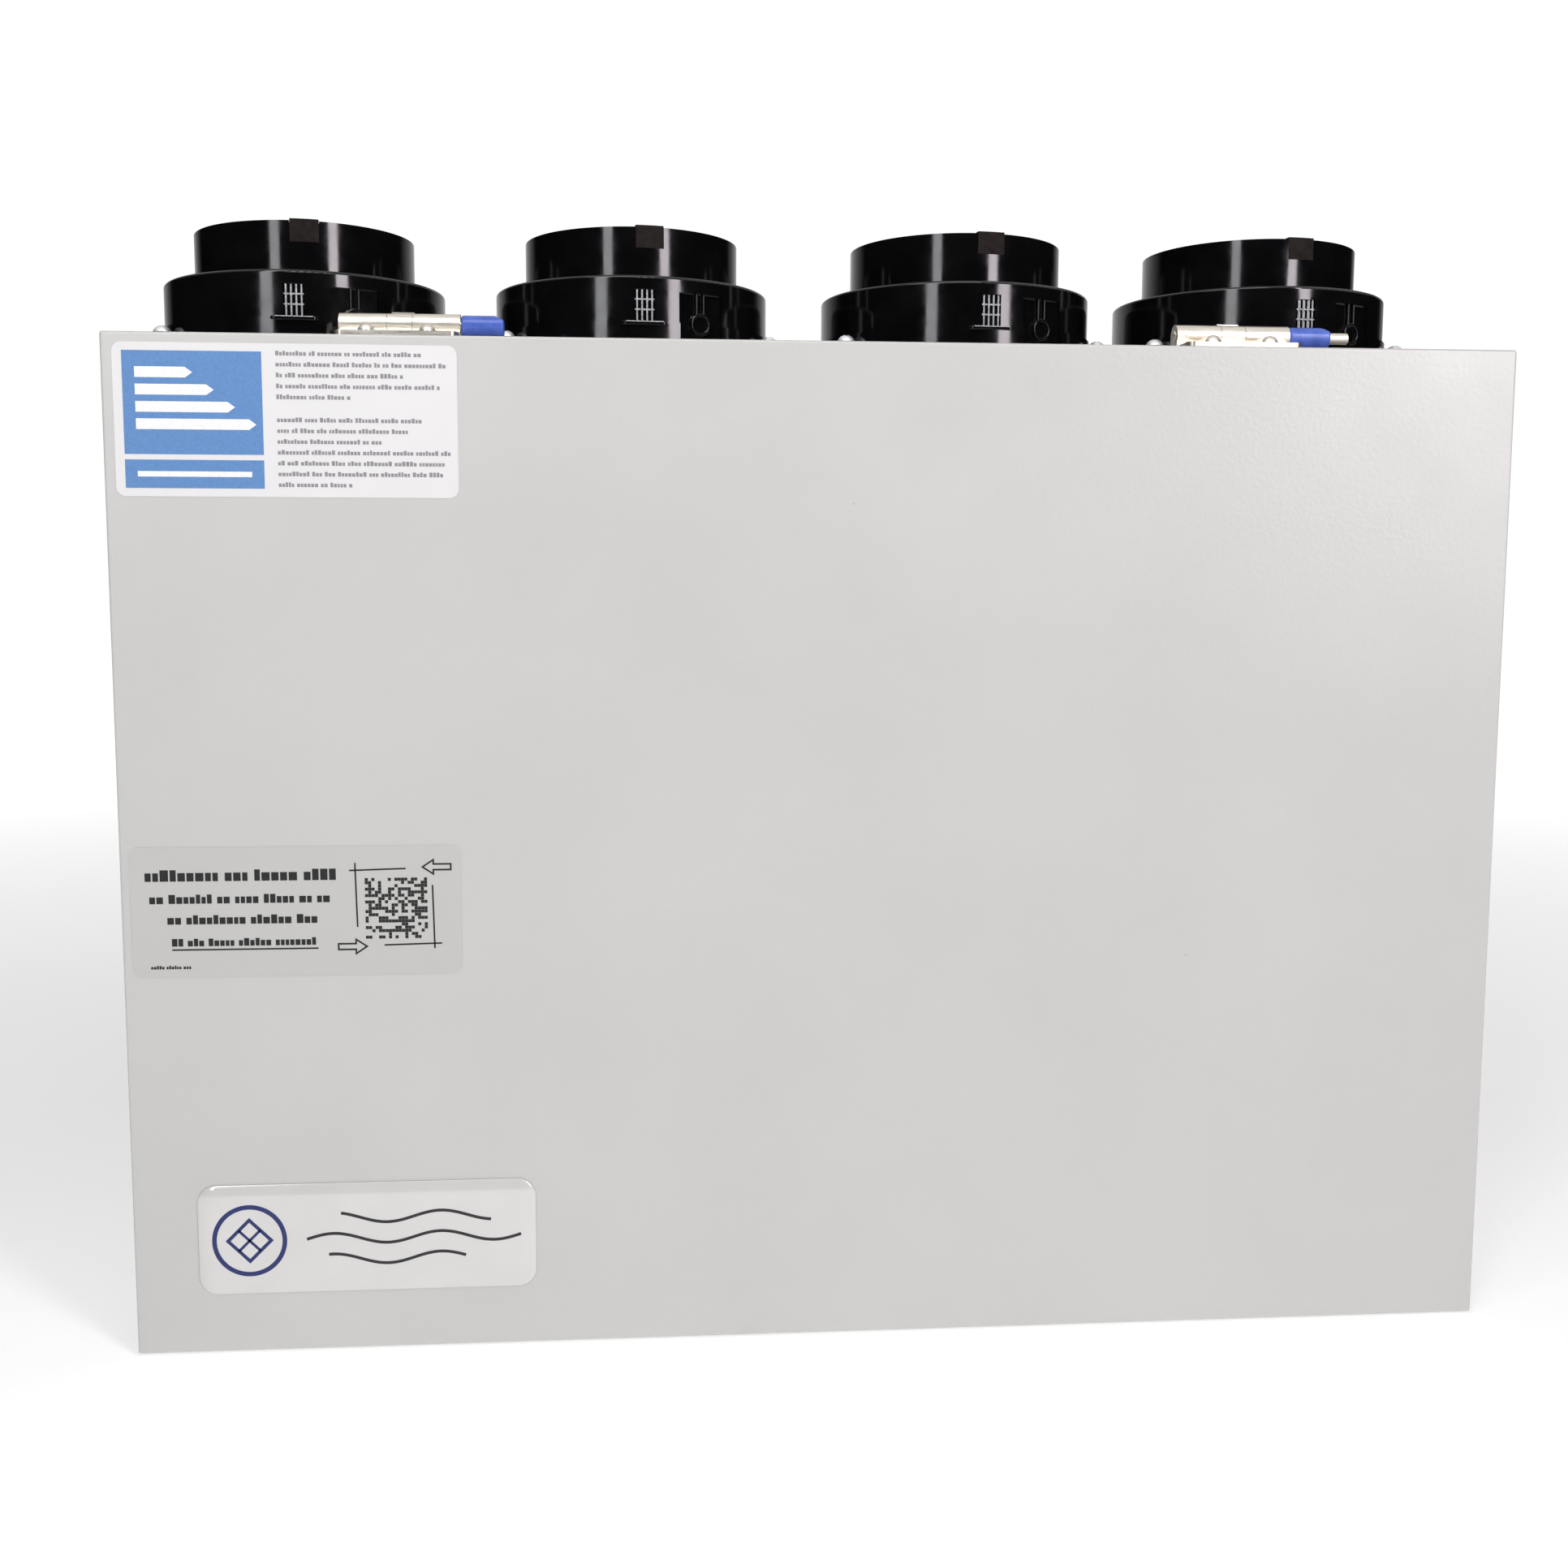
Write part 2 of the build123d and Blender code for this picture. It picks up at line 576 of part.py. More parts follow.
def door_gasket():
    """Magnetic strip seal that holds the door shut against the cabinet's front flange."""
    outer = HALF - 2
    inner = outer - 10
    rear = CABINET_FRONT - FIT
    ring = round_plate(-outer, outer, SHEET + 2, HEIGHT - 2, DOOR_BACK, rear, 3)
    return ring - round_plate(-inner, inner, SHEET + 12, HEIGHT - 12, DOOR_BACK - 1, rear + 1, 3)


def badge():
    x0, x1, z0, z1 = BADGE
    plate = round_plate(x0, x1, z0, z1, FRONT - 2.2, FRONT, 8)
    return fillet(plate.edges().group_by(Axis.Y)[0], 1.4)


def face_label(outline):
    x0, x1, z0, z1 = outline
    return round_plate(x0, x1, z0, z1, FRONT - LABEL, FRONT, 4)


# ---------------------------------------------------------------- core and filters
CORE_HALF_DIAGONAL = (CORE_SIDE / 2 + CORE_RAIL) * 2 ** 0.5
CORE_Y = (INSIDE + 4.3, REAR_FOAM - 3)
END_PLATE = 2.0
FILTER_THICK = 12.0
FILTER_LONG = 184.0
FILTER_FRAME = 9.0


def heat_core():
    """Cross-flow core: flat passages, every second one turned a quarter."""
    y0, y1 = CORE_Y
    core = core_box(CORE_SIDE, CORE_SIDE, y0, y1)
    width = CORE_SIDE - 36
    count = int((y1 - y0) / CORE_PITCH) - 1
    passages = []
    for i in range(count):
        start = y0 + CORE_PITCH / 2 + i * CORE_PITCH
        passages.append(core_box(width, CORE_SIDE + 2, start, start + CORE_GAP))
        start += CORE_PITCH / 2
        passages.append(core_box(CORE_SIDE + 2, width, start, start + CORE_GAP))
    return core - passages


def core_frame():
    """Two end plates joined by four corner angles."""
    y0, y1 = CORE_Y
    outer = CORE_SIDE + 2 * CORE_RAIL
    frame = core_box(outer, outer, y0 - END_PLATE, y1 + END_PLATE)
    frame -= core_box(CORE_SIDE + FIT, CORE_SIDE + FIT, y0 - FIT / 2, y1 + FIT / 2)
    window = CORE_SIDE - 32
    frame -= core_box(window, outer + 2, y0 - FIT / 2, y1 + FIT / 2)
    frame -= core_box(outer + 2, window, y0 - FIT / 2, y1 + FIT / 2)
    return frame


def core_strap():
    """Webbing loop on the core's front plate, for pulling it out."""
    front = CORE_Y[0] - END_PLATE
    strap = round_plate(-45, 45, CORE_CENTRE_Z + 28, CORE_CENTRE_Z + 53, front - 2, front - FIT, 6)
    for x in (-37, 37):
        strap += rod_y(4, x, front - 2.4, front - 2, CORE_CENTRE_Z + 40.5)
    return strap


def filter_place(side):
    """Places a filter on the core's upper left (+1) or lower left (-1) face."""
    gap = CORE_SIDE / 2 + CORE_RAIL + 1 + FILTER_THICK / 2
    offset = gap * sin(radians(45))
    middle = (CORE_Y[0] + CORE_Y[1]) / 2
    return Location((-offset, middle, CORE_CENTRE_Z + side * offset)) * Rot(0, side * 45, 0)


def filter_frames():
    deep = CORE_Y[1] - CORE_Y[0]
    frame = Box(FILTER_THICK, deep, FILTER_LONG)
    frame -= Box(FILTER_THICK + 2, deep - 2 * FILTER_FRAME, FILTER_LONG - 2 * FILTER_FRAME)
    return Compound(children=[filter_place(side) * frame for side in (1, -1)])


def filter_media():
    deep = CORE_Y[1] - CORE_Y[0] - 2 * FILTER_FRAME - 2 * FIT
    long = FILTER_LONG - 2 * FILTER_FRAME - 2 * FIT
    pad = Box(FILTER_THICK - 4, deep, long)
    return Compound(children=[filter_place(side) * pad for side in (1, -1)])


# ---------------------------------------------------------------- drain
PAN_TOP = 45.0
PAN_WALL = 2.0


def drain_pan():
    edge = CHANNEL_WALL_X - 2
    y0, y1 = INSIDE + 2, REAR_FOAM - 2
    base = FLOOR + FIT
    pan = block(-edge, edge, y0, y1, base, PAN_TOP - FIT)
    pan -= block(-edge + PAN_WALL, -3, y0 + PAN_WALL, y1 - PAN_WALL, base + PAN_WALL, PAN_TOP + 1)
    pan -= block(3, edge - PAN_WALL, y0 + PAN_WALL, y1 - PAN_WALL, base + PAN_WALL, PAN_TOP + 1)
    for x in DRAIN_X:
        pan -= rod_z(DRAIN_BORE + 3.1, x, DRAIN_Y, 0, PAN_TOP)
    return pan


def drain_sockets():
    made = []
    for x in DRAIN_X:
        seat = FLOOR + FIT + PAN_WALL
        socket = rod_z(DRAIN_BORE + 3, x, DRAIN_Y, 0.4, seat)
        socket += rod_z(DRAIN_BORE + 7, x, DRAIN_Y, seat, seat + 1.6)
        socket -= rod_z(DRAIN_BORE, x, DRAIN_Y, 0, seat + 3)
        made.append(socket)
    return Compound(children=made)


# ---------------------------------------------------------------- fans
HOUSING_Y = (-15.0, 88.0)
HOUSING_WALL = 2.0
SHELF_Z = (158.0, 170.0)
INLET_RADIUS = 32.0
IMPELLER_Y = (-6.0, 46.0)


def scroll(x, outlet_x, outlet_z, grow):
    """Drum and outlet duct of a fan housing, made larger or smaller by grow."""
    drum = rod_y(SCROLL_RADIUS + grow, x, HOUSING_Y[0] - grow, HOUSING_Y[1] + grow, FAN_Z)
    duct = block(outlet_x[0] - grow, outlet_x[1] + grow, HOUSING_Y[0] - grow, HOUSING_Y[1] + grow,
                 outlet_z[0] - grow, outlet_z[1] + grow)
    return drum + duct


def fan_housing(x, outlet_x, outlet_z, mouth):
    housing = scroll(x, outlet_x, outlet_z, 0)
    housing -= scroll(x, outlet_x, outlet_z, -HOUSING_WALL)
    housing -= mouth
    housing -= rod_y(INLET_RADIUS + 4, x, HOUSING_Y[0] - 5, HOUSING_Y[0] + 5, FAN_Z)
    return housing


def supply_housing():
    """Blows to the right, into the chamber under the core."""
    bottom = FAN_Z - SCROLL_RADIUS
    outlet_z = (bottom, bottom + SCROLL_OUTLET)
    outlet_x = (-FAN_X, -CHANNEL_WALL_X)
    mouth = block(-CHANNEL_WALL_X - 4, -CHANNEL_WALL_X + 1, HOUSING_Y[0] + HOUSING_WALL,
                  HOUSING_Y[1] - HOUSING_WALL, outlet_z[0] + HOUSING_WALL, outlet_z[1] - HOUSING_WALL)
    return fan_housing(-FAN_X, outlet_x, outlet_z, mouth)


def exhaust_housing():
    """Blows up, into the channel under the exhaust collar."""
    outer = FAN_X + SCROLL_RADIUS
    outlet_x = (outer - SCROLL_OUTLET, outer)
    outlet_z = (FAN_Z, SHELF_Z[1])
    mouth = block(outlet_x[0] + HOUSING_WALL, outlet_x[1] - HOUSING_WALL, HOUSING_Y[0] + HOUSING_WALL,
                  HOUSING_Y[1] - HOUSING_WALL, SHELF_Z[1] - 4, SHELF_Z[1] + 1)
    return fan_housing(FAN_X, outlet_x, outlet_z, mouth)


def inlet_rings():
    """Bell-mouthed rings that lead air into the impellers."""
    front = HOUSING_Y[0] - FIT
    rings = []
    for x in (-FAN_X, FAN_X):
        flange = rod_y(INLET_RADIUS + 13, x, front - 8, front, FAN_Z)
        flange -= rod_y(INLET_RADIUS, x, front - 9, front + 1, FAN_Z)
        flange = fillet(flange.edges().filter_by(GeomType.CIRCLE).group_by(Axis.Y)[0], 5.0)
        nozzle = rod_y(INLET_RADIUS + 2, x, front - 2, front + 8, FAN_Z)
        nozzle -= rod_y(INLET_RADIUS, x, front - 9, front + 9, FAN_Z)
        rings.append(flange + nozzle)
    return Compound(children=rings)


def fan_motors():
    """External-rotor motors on the rear wall of each housing, with their shafts."""
    rear = HOUSING_Y[1] - HOUSING_WALL - FIT
    motors = []
    for x in (-FAN_X, FAN_X):
        can = rod_y(32, x, IMPELLER_Y[1] + 4, rear, FAN_Z)
        can = fillet(can.edges().filter_by(GeomType.CIRCLE).group_by(Axis.Y)[0], 3)
        motors.append(can + rod_y(SHAFT_RADIUS, x, IMPELLER_Y[1] - 20, IMPELLER_Y[1] + 5, FAN_Z))
    return Compound(children=motors)


def blade_outline(sweep):
    """Backward-curved blade section: a thin arc between the eye and the rim."""
    arc_radius = 26.0
    arc = Circle(arc_radius) - Circle(arc_radius - 1.6)
    arc = Pos(sweep * 12.0, 24.0) * arc
    ring = Circle(IMPELLER_RADIUS - 0.4) - Circle(25.0)
    keep = Pos(-sweep * 40.0, 20.0) * Rectangle(80, 80)
    return arc & ring & keep


def impeller(x, sweep):
    y0, y1 = IMPELLER_Y
    wheel = rod_y(IMPELLER_RADIUS, x, y1 - 2, y1, FAN_Z)
    wheel += rod_y(12, x, y1 - 16, y1, FAN_Z)
    rim = rod_y(IMPELLER_RADIUS, x, y0, y0 + 2, FAN_Z)
    rim -= rod_y(INLET_RADIUS + 3, x, y0 - 1, y0 + 3, FAN_Z)
    wheel += rim
    blade = extrude(blade_outline(sweep), amount=y1 - y0 - 3)
    for i in range(BLADES):
        turned = Location((x, y1 - 1, FAN_Z)) * Rot(90, 0, 0) * Rot(0, 0, i * 360 / BLADES) * blade
        wheel += turned
    return wheel - rod_y(SHAFT_RADIUS + 0.05, x, y0, y1 + 1, FAN_Z)


# ---------------------------------------------------------------- defrost damper
def damper_frame():
    """Window frame on the channel wall, with two ears that hold the flap's shaft."""
    face = -CHANNEL_WALL_X - PARTITION
    frame = block(face - 2, face - FIT, -FLAP_HALF - 12, FLAP_HALF + 12, FLAP_BOTTOM - 12, CEILING - 1)
    frame -= block(face - 3, face + 1, -FLAP_HALF + 3, FLAP_HALF - 3, FLAP_BOTTOM + 3, FLAP_AXIS_Z - 10)
    for y in (-FLAP_HALF - 9, FLAP_HALF + 3):
        frame += block(FLAP_AXIS_X - 5, face - 1, y, y + 6, FLAP_AXIS_Z - 6, FLAP_AXIS_Z + 6)
    return frame - rod_y(3.05, FLAP_AXIS_X, -FLAP_HALF - 20, FLAP_HALF + 20, FLAP_AXIS_Z)


def defrost_flap():
    seat = -CHANNEL_WALL_X - PARTITION - 2.3
    flap = block(seat - 2.4, seat, -FLAP_HALF, FLAP_HALF, FLAP_BOTTOM, FLAP_AXIS_Z)
    flap = fillet(flap.edges().filter_by(Axis.X).group_by(Axis.Z)[0], 4)
    flap += rod_y(3, FLAP_AXIS_X, -FLAP_HALF - 8.5, FLAP_HALF + 16, FLAP_AXIS_Z)
    for z in (352, 370):
        flap += block(seat - 4, seat - 2, -FLAP_HALF + 6, FLAP_HALF - 6, z, z + 2)
    return flap


def damper_motor():
    y0 = FLAP_HALF + 9.1
    case = block(FLAP_AXIS_X - 14, FLAP_AXIS_X + 3, y0, y0 + 30, FLAP_AXIS_Z - 14, FLAP_AXIS_Z + 8)
    case = fillet(case.edges().filter_by(Axis.Y), 2)
    return case - rod_y(3.05, FLAP_AXIS_X, y0 - 1, y0 + 9, FLAP_AXIS_Z)


# ---------------------------------------------------------------- controls
TRAY_X = (282.0, 300.2)
TRAY_Y = (-2.0, 86.0)
TRAY_Z = (154.0, 282.0)
BOARD_X = (285.6, 287.2)


def control_tray():
    tray = block(TRAY_X[0], TRAY_X[1], TRAY_Y[0], TRAY_Y[1], TRAY_Z[0], TRAY_Z[1])
    tray -= block(TRAY_X[0] + SHEET, TRAY_X[1] + 1, TRAY_Y[0] + SHEET, TRAY_Y[1] - SHEET,
                  TRAY_Z[0] + SHEET, TRAY_Z[1] - SHEET)
    for y in (12, 72):
        for z in (188, 270):
            tray += rod_x(3, TRAY_X[0] + 1, BOARD_X[0] - FIT, y, z)
    return tray


def circuit_board():
    board = block(BOARD_X[0], BOARD_X[1], 4, 80, 166, 278)
    board += block(BOARD_X[1], BOARD_X[1] + 9, 52, 76, 206, 230)
    board += block(BOARD_X[1], BOARD_X[1] + 7, 56, 72, 240, 256)
    for y in (12, 24):
        board += rod_x(4, BOARD_X[1], BOARD_X[1] + 9, y, 214)
    board += block(BOARD_X[1], BOARD_X[1] + 1.6, 12, 26, 236, 256)
    return board


def terminal_block():
    strip = block(BOARD_X[1] + FIT, BOARD_X[1] + 9, 50, 78, 172, 196)
    for y in (55, 64, 73):
        strip -= rod_x(2.4, BOARD_X[1] + 5, BOARD_X[1] + 10, y, 184)
    return strip


def service_plate():
    plate = block(HALF + FIT, HALF + FIT + SHEET, PLATE_Y[0], PLATE_Y[1], PLATE_Z[0], PLATE_Z[1])
    plate = fillet(plate.edges().filter_by(Axis.X), 3)
    plate -= rod_x(BUTTON_RADIUS + 0.08, HALF - 1, HALF + 3, BUTTON_Y, BUTTON_Z)
    plate -= rod_x(2.5, HALF - 1, HALF + 3, BUTTON_Y, LENS_Z)
    plate -= rod_x(9.1, HALF - 1, HALF + 3, 24, GLAND_Z)
    for y, z in plate_corners():
        plate -= rod_x(1.75, HALF - 1, HALF + 3, y, z)
    return plate


def service_screws():
    outer = HALF + FIT + SHEET
    screws = []
    for y, z in plate_corners():
        screw = rod_x(3.2, outer, outer + 2, y, z)
        screw = fillet(screw.edges().filter_by(GeomType.CIRCLE).group_by(Axis.X)[-1], 1.0)
        screw += rod_x(1.6, HALF - 5, outer + 0.5, y, z)
        screw -= block(outer + 1.1, outer + 3, y - 2.2, y + 2.2, z - 0.4, z + 0.4)
        screws.append(screw)
    return Compound(children=screws)


def speed_button():
    outer = HALF + FIT + SHEET
    button = rod_x(BUTTON_RADIUS, 291, outer + 2.8, BUTTON_Y, BUTTON_Z)
    button = fillet(button.edges().filter_by(GeomType.CIRCLE).group_by(Axis.X)[-1], 0.8)
    return button + rod_x(BUTTON_RADIUS + 1.4, 296, 298, BUTTON_Y, BUTTON_Z)


def led_lens():
    outer = HALF + FIT + SHEET
    lens = rod_x(2.4, 294, outer + 1.2, BUTTON_Y, LENS_Z)
    return fillet(lens.edges().filter_by(GeomType.CIRCLE).group_by(Axis.X)[-1], 1.0)


def cord_gland():
    outer = HALF + FIT + SHEET
    gland = rod_x(9, HALF - 3, outer, 24, GLAND_Z)
    gland += rod_x(11.5, outer, outer + 3, 24, GLAND_Z)
    gland = fillet(gland.edges().filter_by(GeomType.CIRCLE).group_by(Axis.X)[-1], 1.2)
    return gland - rod_x(4, HALF - 10, outer + 10, 24, GLAND_Z)


# ---------------------------------------------------------------- wall mounting
HANGER_HALF = 232.0
HOOK_TOP = 421.0
STEEL = 1.5


def rear_hanger():
    """Rail on the back panel with a lip turned down over the wall bracket."""
    rail = block(-HANGER_HALF, HANGER_HALF, BACK, BACK + STEEL, HOOK_TOP - 34, HOOK_TOP)
    rail += block(-HANGER_HALF, HANGER_HALF, BACK, BACK + 8.5, HOOK_TOP - STEEL, HOOK_TOP)
    rail += block(-HANGER_HALF, HANGER_HALF, BACK + 7, BACK + 8.5, HOOK_TOP - 20, HOOK_TOP)
    return rail


def wall_bracket():
    """Plate for the wall, with a lip turned up inside the rear hanger."""
    wall = BACK + STANDOFF
    half = HANGER_HALF - 6
    lip_top = HOOK_TOP - STEEL
    step = HOOK_TOP - 25
    plate = block(-half, half, wall - STEEL, wall, step - 34, step)
    plate += block(-half, half, BACK + 4, wall, step - STEEL, step)
    plate += block(-half, half, BACK + 4, BACK + 4 + STEEL, step - STEEL, lip_top)
    for x in (-BRACKET_SPACING / 2, BRACKET_SPACING / 2):
        plate -= rod_y(BRACKET_HOLE, x, BACK, wall + 1, step - 18)
    return plate


def wall_bumpers():
    pads = []
    for x in (-225, 225):
        pad = rod_y(12, x, BACK, BACK + STANDOFF, 60)
        pads.append(fillet(pad.edges().filter_by(GeomType.CIRCLE).group_by(Axis.Y)[-1], 2))
    return Compound(children=pads)


# ---------------------------------------------------------------- every sub-part by name
def all_parts():
    parts = {
        "cabinet_bottom": cabinet_bottom(),
        "cabinet_side_left": mirror(cabinet_side(), about=Plane.YZ),
        "cabinet_side_right": service_side(),
        "top_panel": top_panel(),
        "back_panel": back_panel(),
        "insulation_top": insulation_top(),
        "insulation_bottom": insulation_bottom(),
        "insulation_back": insulation_back(),
        "insulation_left": insulation_left(),
        "insulation_right": insulation_right(),
        "partition_left": partition_left(),
        "partition_right": partition_right(),
        "core_partitions": core_partitions(),
        "port_clips": port_clips(),
        "port_screws": port_screws(),
        "hinge_leaves_front": Compound(children=[front_leaf(x) for x in HINGE_X]),
        "hinge_leaves_rear": Compound(children=[rear_leaf(x) for x in HINGE_X]),
        "door_rivets": rivets(front_rivet_places()),
        "cabinet_rivets": rivets(rear_rivet_places()),
        "door_skin": door_skin(),
        "door_insulation": door_insulation(),
        "door_gasket": door_gasket(),
        "badge": badge(),
        "efficiency_label": face_label(EFFICIENCY_LABEL),
        "info_label": face_label(INFO_LABEL),
        "heat_core": heat_core(),
        "core_frame": core_frame(),
        "core_strap": core_strap(),
        "filter_frames": filter_frames(),
        "filter_media": filter_media(),
        "drain_pan": drain_pan(),
        "drain_sockets": drain_sockets(),
        "supply_fan_housing": supply_housing(),
        "exhaust_fan_housing": exhaust_housing(),
        "fan_inlet_rings": inlet_rings(),
        "fan_motors": fan_motors(),
        "supply_impeller": impeller(-FAN_X, 1),
        "exhaust_impeller": impeller(FAN_X, -1),
        "damper_frame": damper_frame(),
        "defrost_flap": defrost_flap(),
        "damper_motor": damper_motor(),
        "control_tray": control_tray(),
        "circuit_board": circuit_board(),
        "terminal_block": terminal_block(),
        "service_plate": service_plate(),
        "service_screws": service_screws(),
        "speed_button": speed_button(),
        "led_lens": led_lens(),
        "cord_gland": cord_gland(),
        "rear_hanger": rear_hanger(),
        "wall_bracket": wall_bracket(),
        "wall_bumpers": wall_bumpers(),
    }
    for name, port_x in zip(PORT_NAMES, PORT_X):
        parts[name] = port_collar(port_x)
    for index, side in enumerate(("left", "right")):
        parts["hinge_pin_" + side] = hinge_pin(index)
        parts["pin_grip_" + side] = pin_grip(index)
    return parts


for part_name, part_shape in all_parts().items():
    export_step(part_shape, "parts/" + part_name + ".step")
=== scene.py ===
import json
import math
import random

import bmesh
import bpy
from mathutils import Matrix, Vector


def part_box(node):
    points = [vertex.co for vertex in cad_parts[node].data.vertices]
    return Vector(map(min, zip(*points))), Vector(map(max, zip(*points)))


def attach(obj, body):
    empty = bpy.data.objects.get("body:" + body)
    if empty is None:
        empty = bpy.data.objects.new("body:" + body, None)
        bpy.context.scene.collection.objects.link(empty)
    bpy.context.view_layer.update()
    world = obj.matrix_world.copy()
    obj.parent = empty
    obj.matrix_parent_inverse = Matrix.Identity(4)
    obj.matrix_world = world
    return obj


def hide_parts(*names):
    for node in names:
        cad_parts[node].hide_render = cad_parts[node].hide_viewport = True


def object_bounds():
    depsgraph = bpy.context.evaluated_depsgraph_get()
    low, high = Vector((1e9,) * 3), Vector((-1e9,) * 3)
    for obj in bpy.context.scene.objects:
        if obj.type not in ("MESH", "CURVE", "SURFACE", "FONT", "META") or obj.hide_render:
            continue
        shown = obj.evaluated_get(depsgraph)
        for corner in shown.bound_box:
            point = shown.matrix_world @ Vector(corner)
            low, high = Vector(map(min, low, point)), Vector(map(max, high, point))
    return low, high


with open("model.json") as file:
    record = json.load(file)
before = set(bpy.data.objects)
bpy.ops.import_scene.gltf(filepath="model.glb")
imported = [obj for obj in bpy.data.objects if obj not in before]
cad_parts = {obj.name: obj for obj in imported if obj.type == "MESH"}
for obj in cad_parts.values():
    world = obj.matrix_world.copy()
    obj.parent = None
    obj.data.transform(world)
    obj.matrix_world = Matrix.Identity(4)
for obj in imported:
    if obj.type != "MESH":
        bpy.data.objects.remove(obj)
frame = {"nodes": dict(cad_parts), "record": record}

cad_low, cad_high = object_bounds()
door_low, door_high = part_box("door_skin")
FACE_Y = door_low.y
MM = 0.001
INK = 0.04 * MM
LABEL_SEED = 11
FULL_TURN = 2 * math.pi

# ---------------------------------------------------------------- camera
EYE_X = -91.9 * MM
EYE_BEFORE_FACE = 744.35 * MM
EYE_Z = 330.0 * MM
YAW, PITCH, ROLL = -4.61, 6.33, 0.11
LENS = 39.834
SENSOR_WIDTH = 36.0
SHIFT_X, SHIFT_Y = 0.0183, 0.0038
NEAREST, FARTHEST = 0.01, 50.0


def add_camera():
    """Camera solved from the door's corners; yaw, pitch and roll are in degrees."""
    data = bpy.data.cameras.new("camera")
    data.lens = LENS
    data.sensor_width = SENSOR_WIDTH
    data.shift_x, data.shift_y = SHIFT_X, SHIFT_Y
    data.clip_start, data.clip_end = NEAREST, FARTHEST
    camera = bpy.data.objects.new("camera", data)
    bpy.context.scene.collection.objects.link(camera)
    yaw, pitch, roll = (math.radians(a) for a in (YAW, PITCH, ROLL))
    level = Vector((-math.sin(yaw), math.cos(yaw), 0.0))
    ahead = level * math.cos(pitch) - Vector((0.0, 0.0, math.sin(pitch)))
    right = Vector((math.cos(yaw), math.sin(yaw), 0.0))
    up = right.cross(ahead)
    turned_right = right * math.cos(roll) + up * math.sin(roll)
    turned_up = up * math.cos(roll) - right * math.sin(roll)
    camera.matrix_world = Matrix((
        (turned_right.x, turned_up.x, -ahead.x, EYE_X),
        (turned_right.y, turned_up.y, -ahead.y, FACE_Y - EYE_BEFORE_FACE),
        (turned_right.z, turned_up.z, -ahead.z, EYE_Z),
        (0.0, 0.0, 0.0, 1.0),
    ))
    bpy.context.scene.camera = camera


# ---------------------------------------------------------------- light and floor
EYE_WHITE = 1.02
SOFT_FILL = 0.2
BEHIND_SPAN, BEHIND_GLOW = (0.6, 0.98), (0.004, 0.7)
ABOVE_SPAN, ABOVE_GLOW = (0.3, 0.8), (0.0, 0.75)
STRIP_HEIGHT = 1.5
FLOOR_RADIUS = 12.0
FLOOR_GAP = 0.2 * MM
FADE_START, FADE_END = 0.5, 2.4


def area_light(name, place, aim, width, height, power, colour):
    """Rectangular lamp at a place, turned towards an aim; metres and watts."""
    data = bpy.data.lights.new(name, "AREA")
    data.shape = "RECTANGLE"
    data.size, data.size_y = width, height
    data.energy = power
    data.color = colour
    light = bpy.data.objects.new(name, data)
    light.location = place
    light.rotation_euler = (Vector(aim) - Vector(place)).to_track_quat("-Z", "Y").to_euler()
    bpy.context.scene.collection.objects.link(light)


def glow_ramp(nodes, span, glow):
    """Map Range node that takes a span of directions to a span of brightness."""
    ramp = nodes.new("ShaderNodeMapRange")
    ramp.inputs["From Min"].default_value, ramp.inputs["From Max"].default_value = span
    ramp.inputs["To Min"].default_value, ramp.inputs["To Max"].default_value = glow
    return ramp


def add_world():
    """White to the eye, soft fill on the object, and bright only behind and above it in reflections."""
    world = bpy.data.worlds.new("studio")
    bpy.context.scene.world = world
    world.use_nodes = True
    nodes, links = world.node_tree.nodes, world.node_tree.links
    nodes.clear()
    out = nodes.new("ShaderNodeOutputWorld")
    background = nodes.new("ShaderNodeBackground")
    background.inputs["Color"].default_value = (1.0, 1.0, 1.0, 1.0)
    coord = nodes.new("ShaderNodeTexCoord")
    split = nodes.new("ShaderNodeSeparateXYZ")
    behind = glow_ramp(nodes, BEHIND_SPAN, BEHIND_GLOW)
    above = glow_ramp(nodes, ABOVE_SPAN, ABOVE_GLOW)
    brighter = nodes.new("ShaderNodeMath")
    brighter.operation = "MAXIMUM"
    path = nodes.new("ShaderNodeLightPath")
    glossy = nodes.new("ShaderNodeMix")
    glossy.inputs["A"].default_value = SOFT_FILL
    eye = nodes.new("ShaderNodeMix")
    eye.inputs["B"].default_value = EYE_WHITE
    links.new(coord.outputs["Generated"], split.inputs[0])
    links.new(split.outputs["Y"], behind.inputs["Value"])
    links.new(split.outputs["Z"], above.inputs["Value"])
    links.new(behind.outputs[0], brighter.inputs[0])
    links.new(above.outputs[0], brighter.inputs[1])
    links.new(path.outputs["Is Glossy Ray"], glossy.inputs["Factor"])
    links.new(brighter.outputs[0], glossy.inputs["B"])
    links.new(path.outputs["Is Camera Ray"], eye.inputs["Factor"])
    links.new(glossy.outputs["Result"], eye.inputs["A"])
    links.new(eye.outputs["Result"], background.inputs["Strength"])
    links.new(background.outputs[0], out.inputs[0])


def add_floor():
    """Round sheet of paper just under the part."""
    mesh = bpy.data.meshes.new("floor")
    built = bmesh.new()
    bmesh.ops.create_circle(built, cap_ends=True, segments=96, radius=FLOOR_RADIUS)
    built.to_mesh(mesh)
    built.free()
    floor = bpy.data.objects.new("floor", mesh)
    floor.location.z = cad_low.z - FLOOR_GAP
    bpy.context.scene.collection.objects.link(floor)
    floor.data.materials.append(floor_paper())


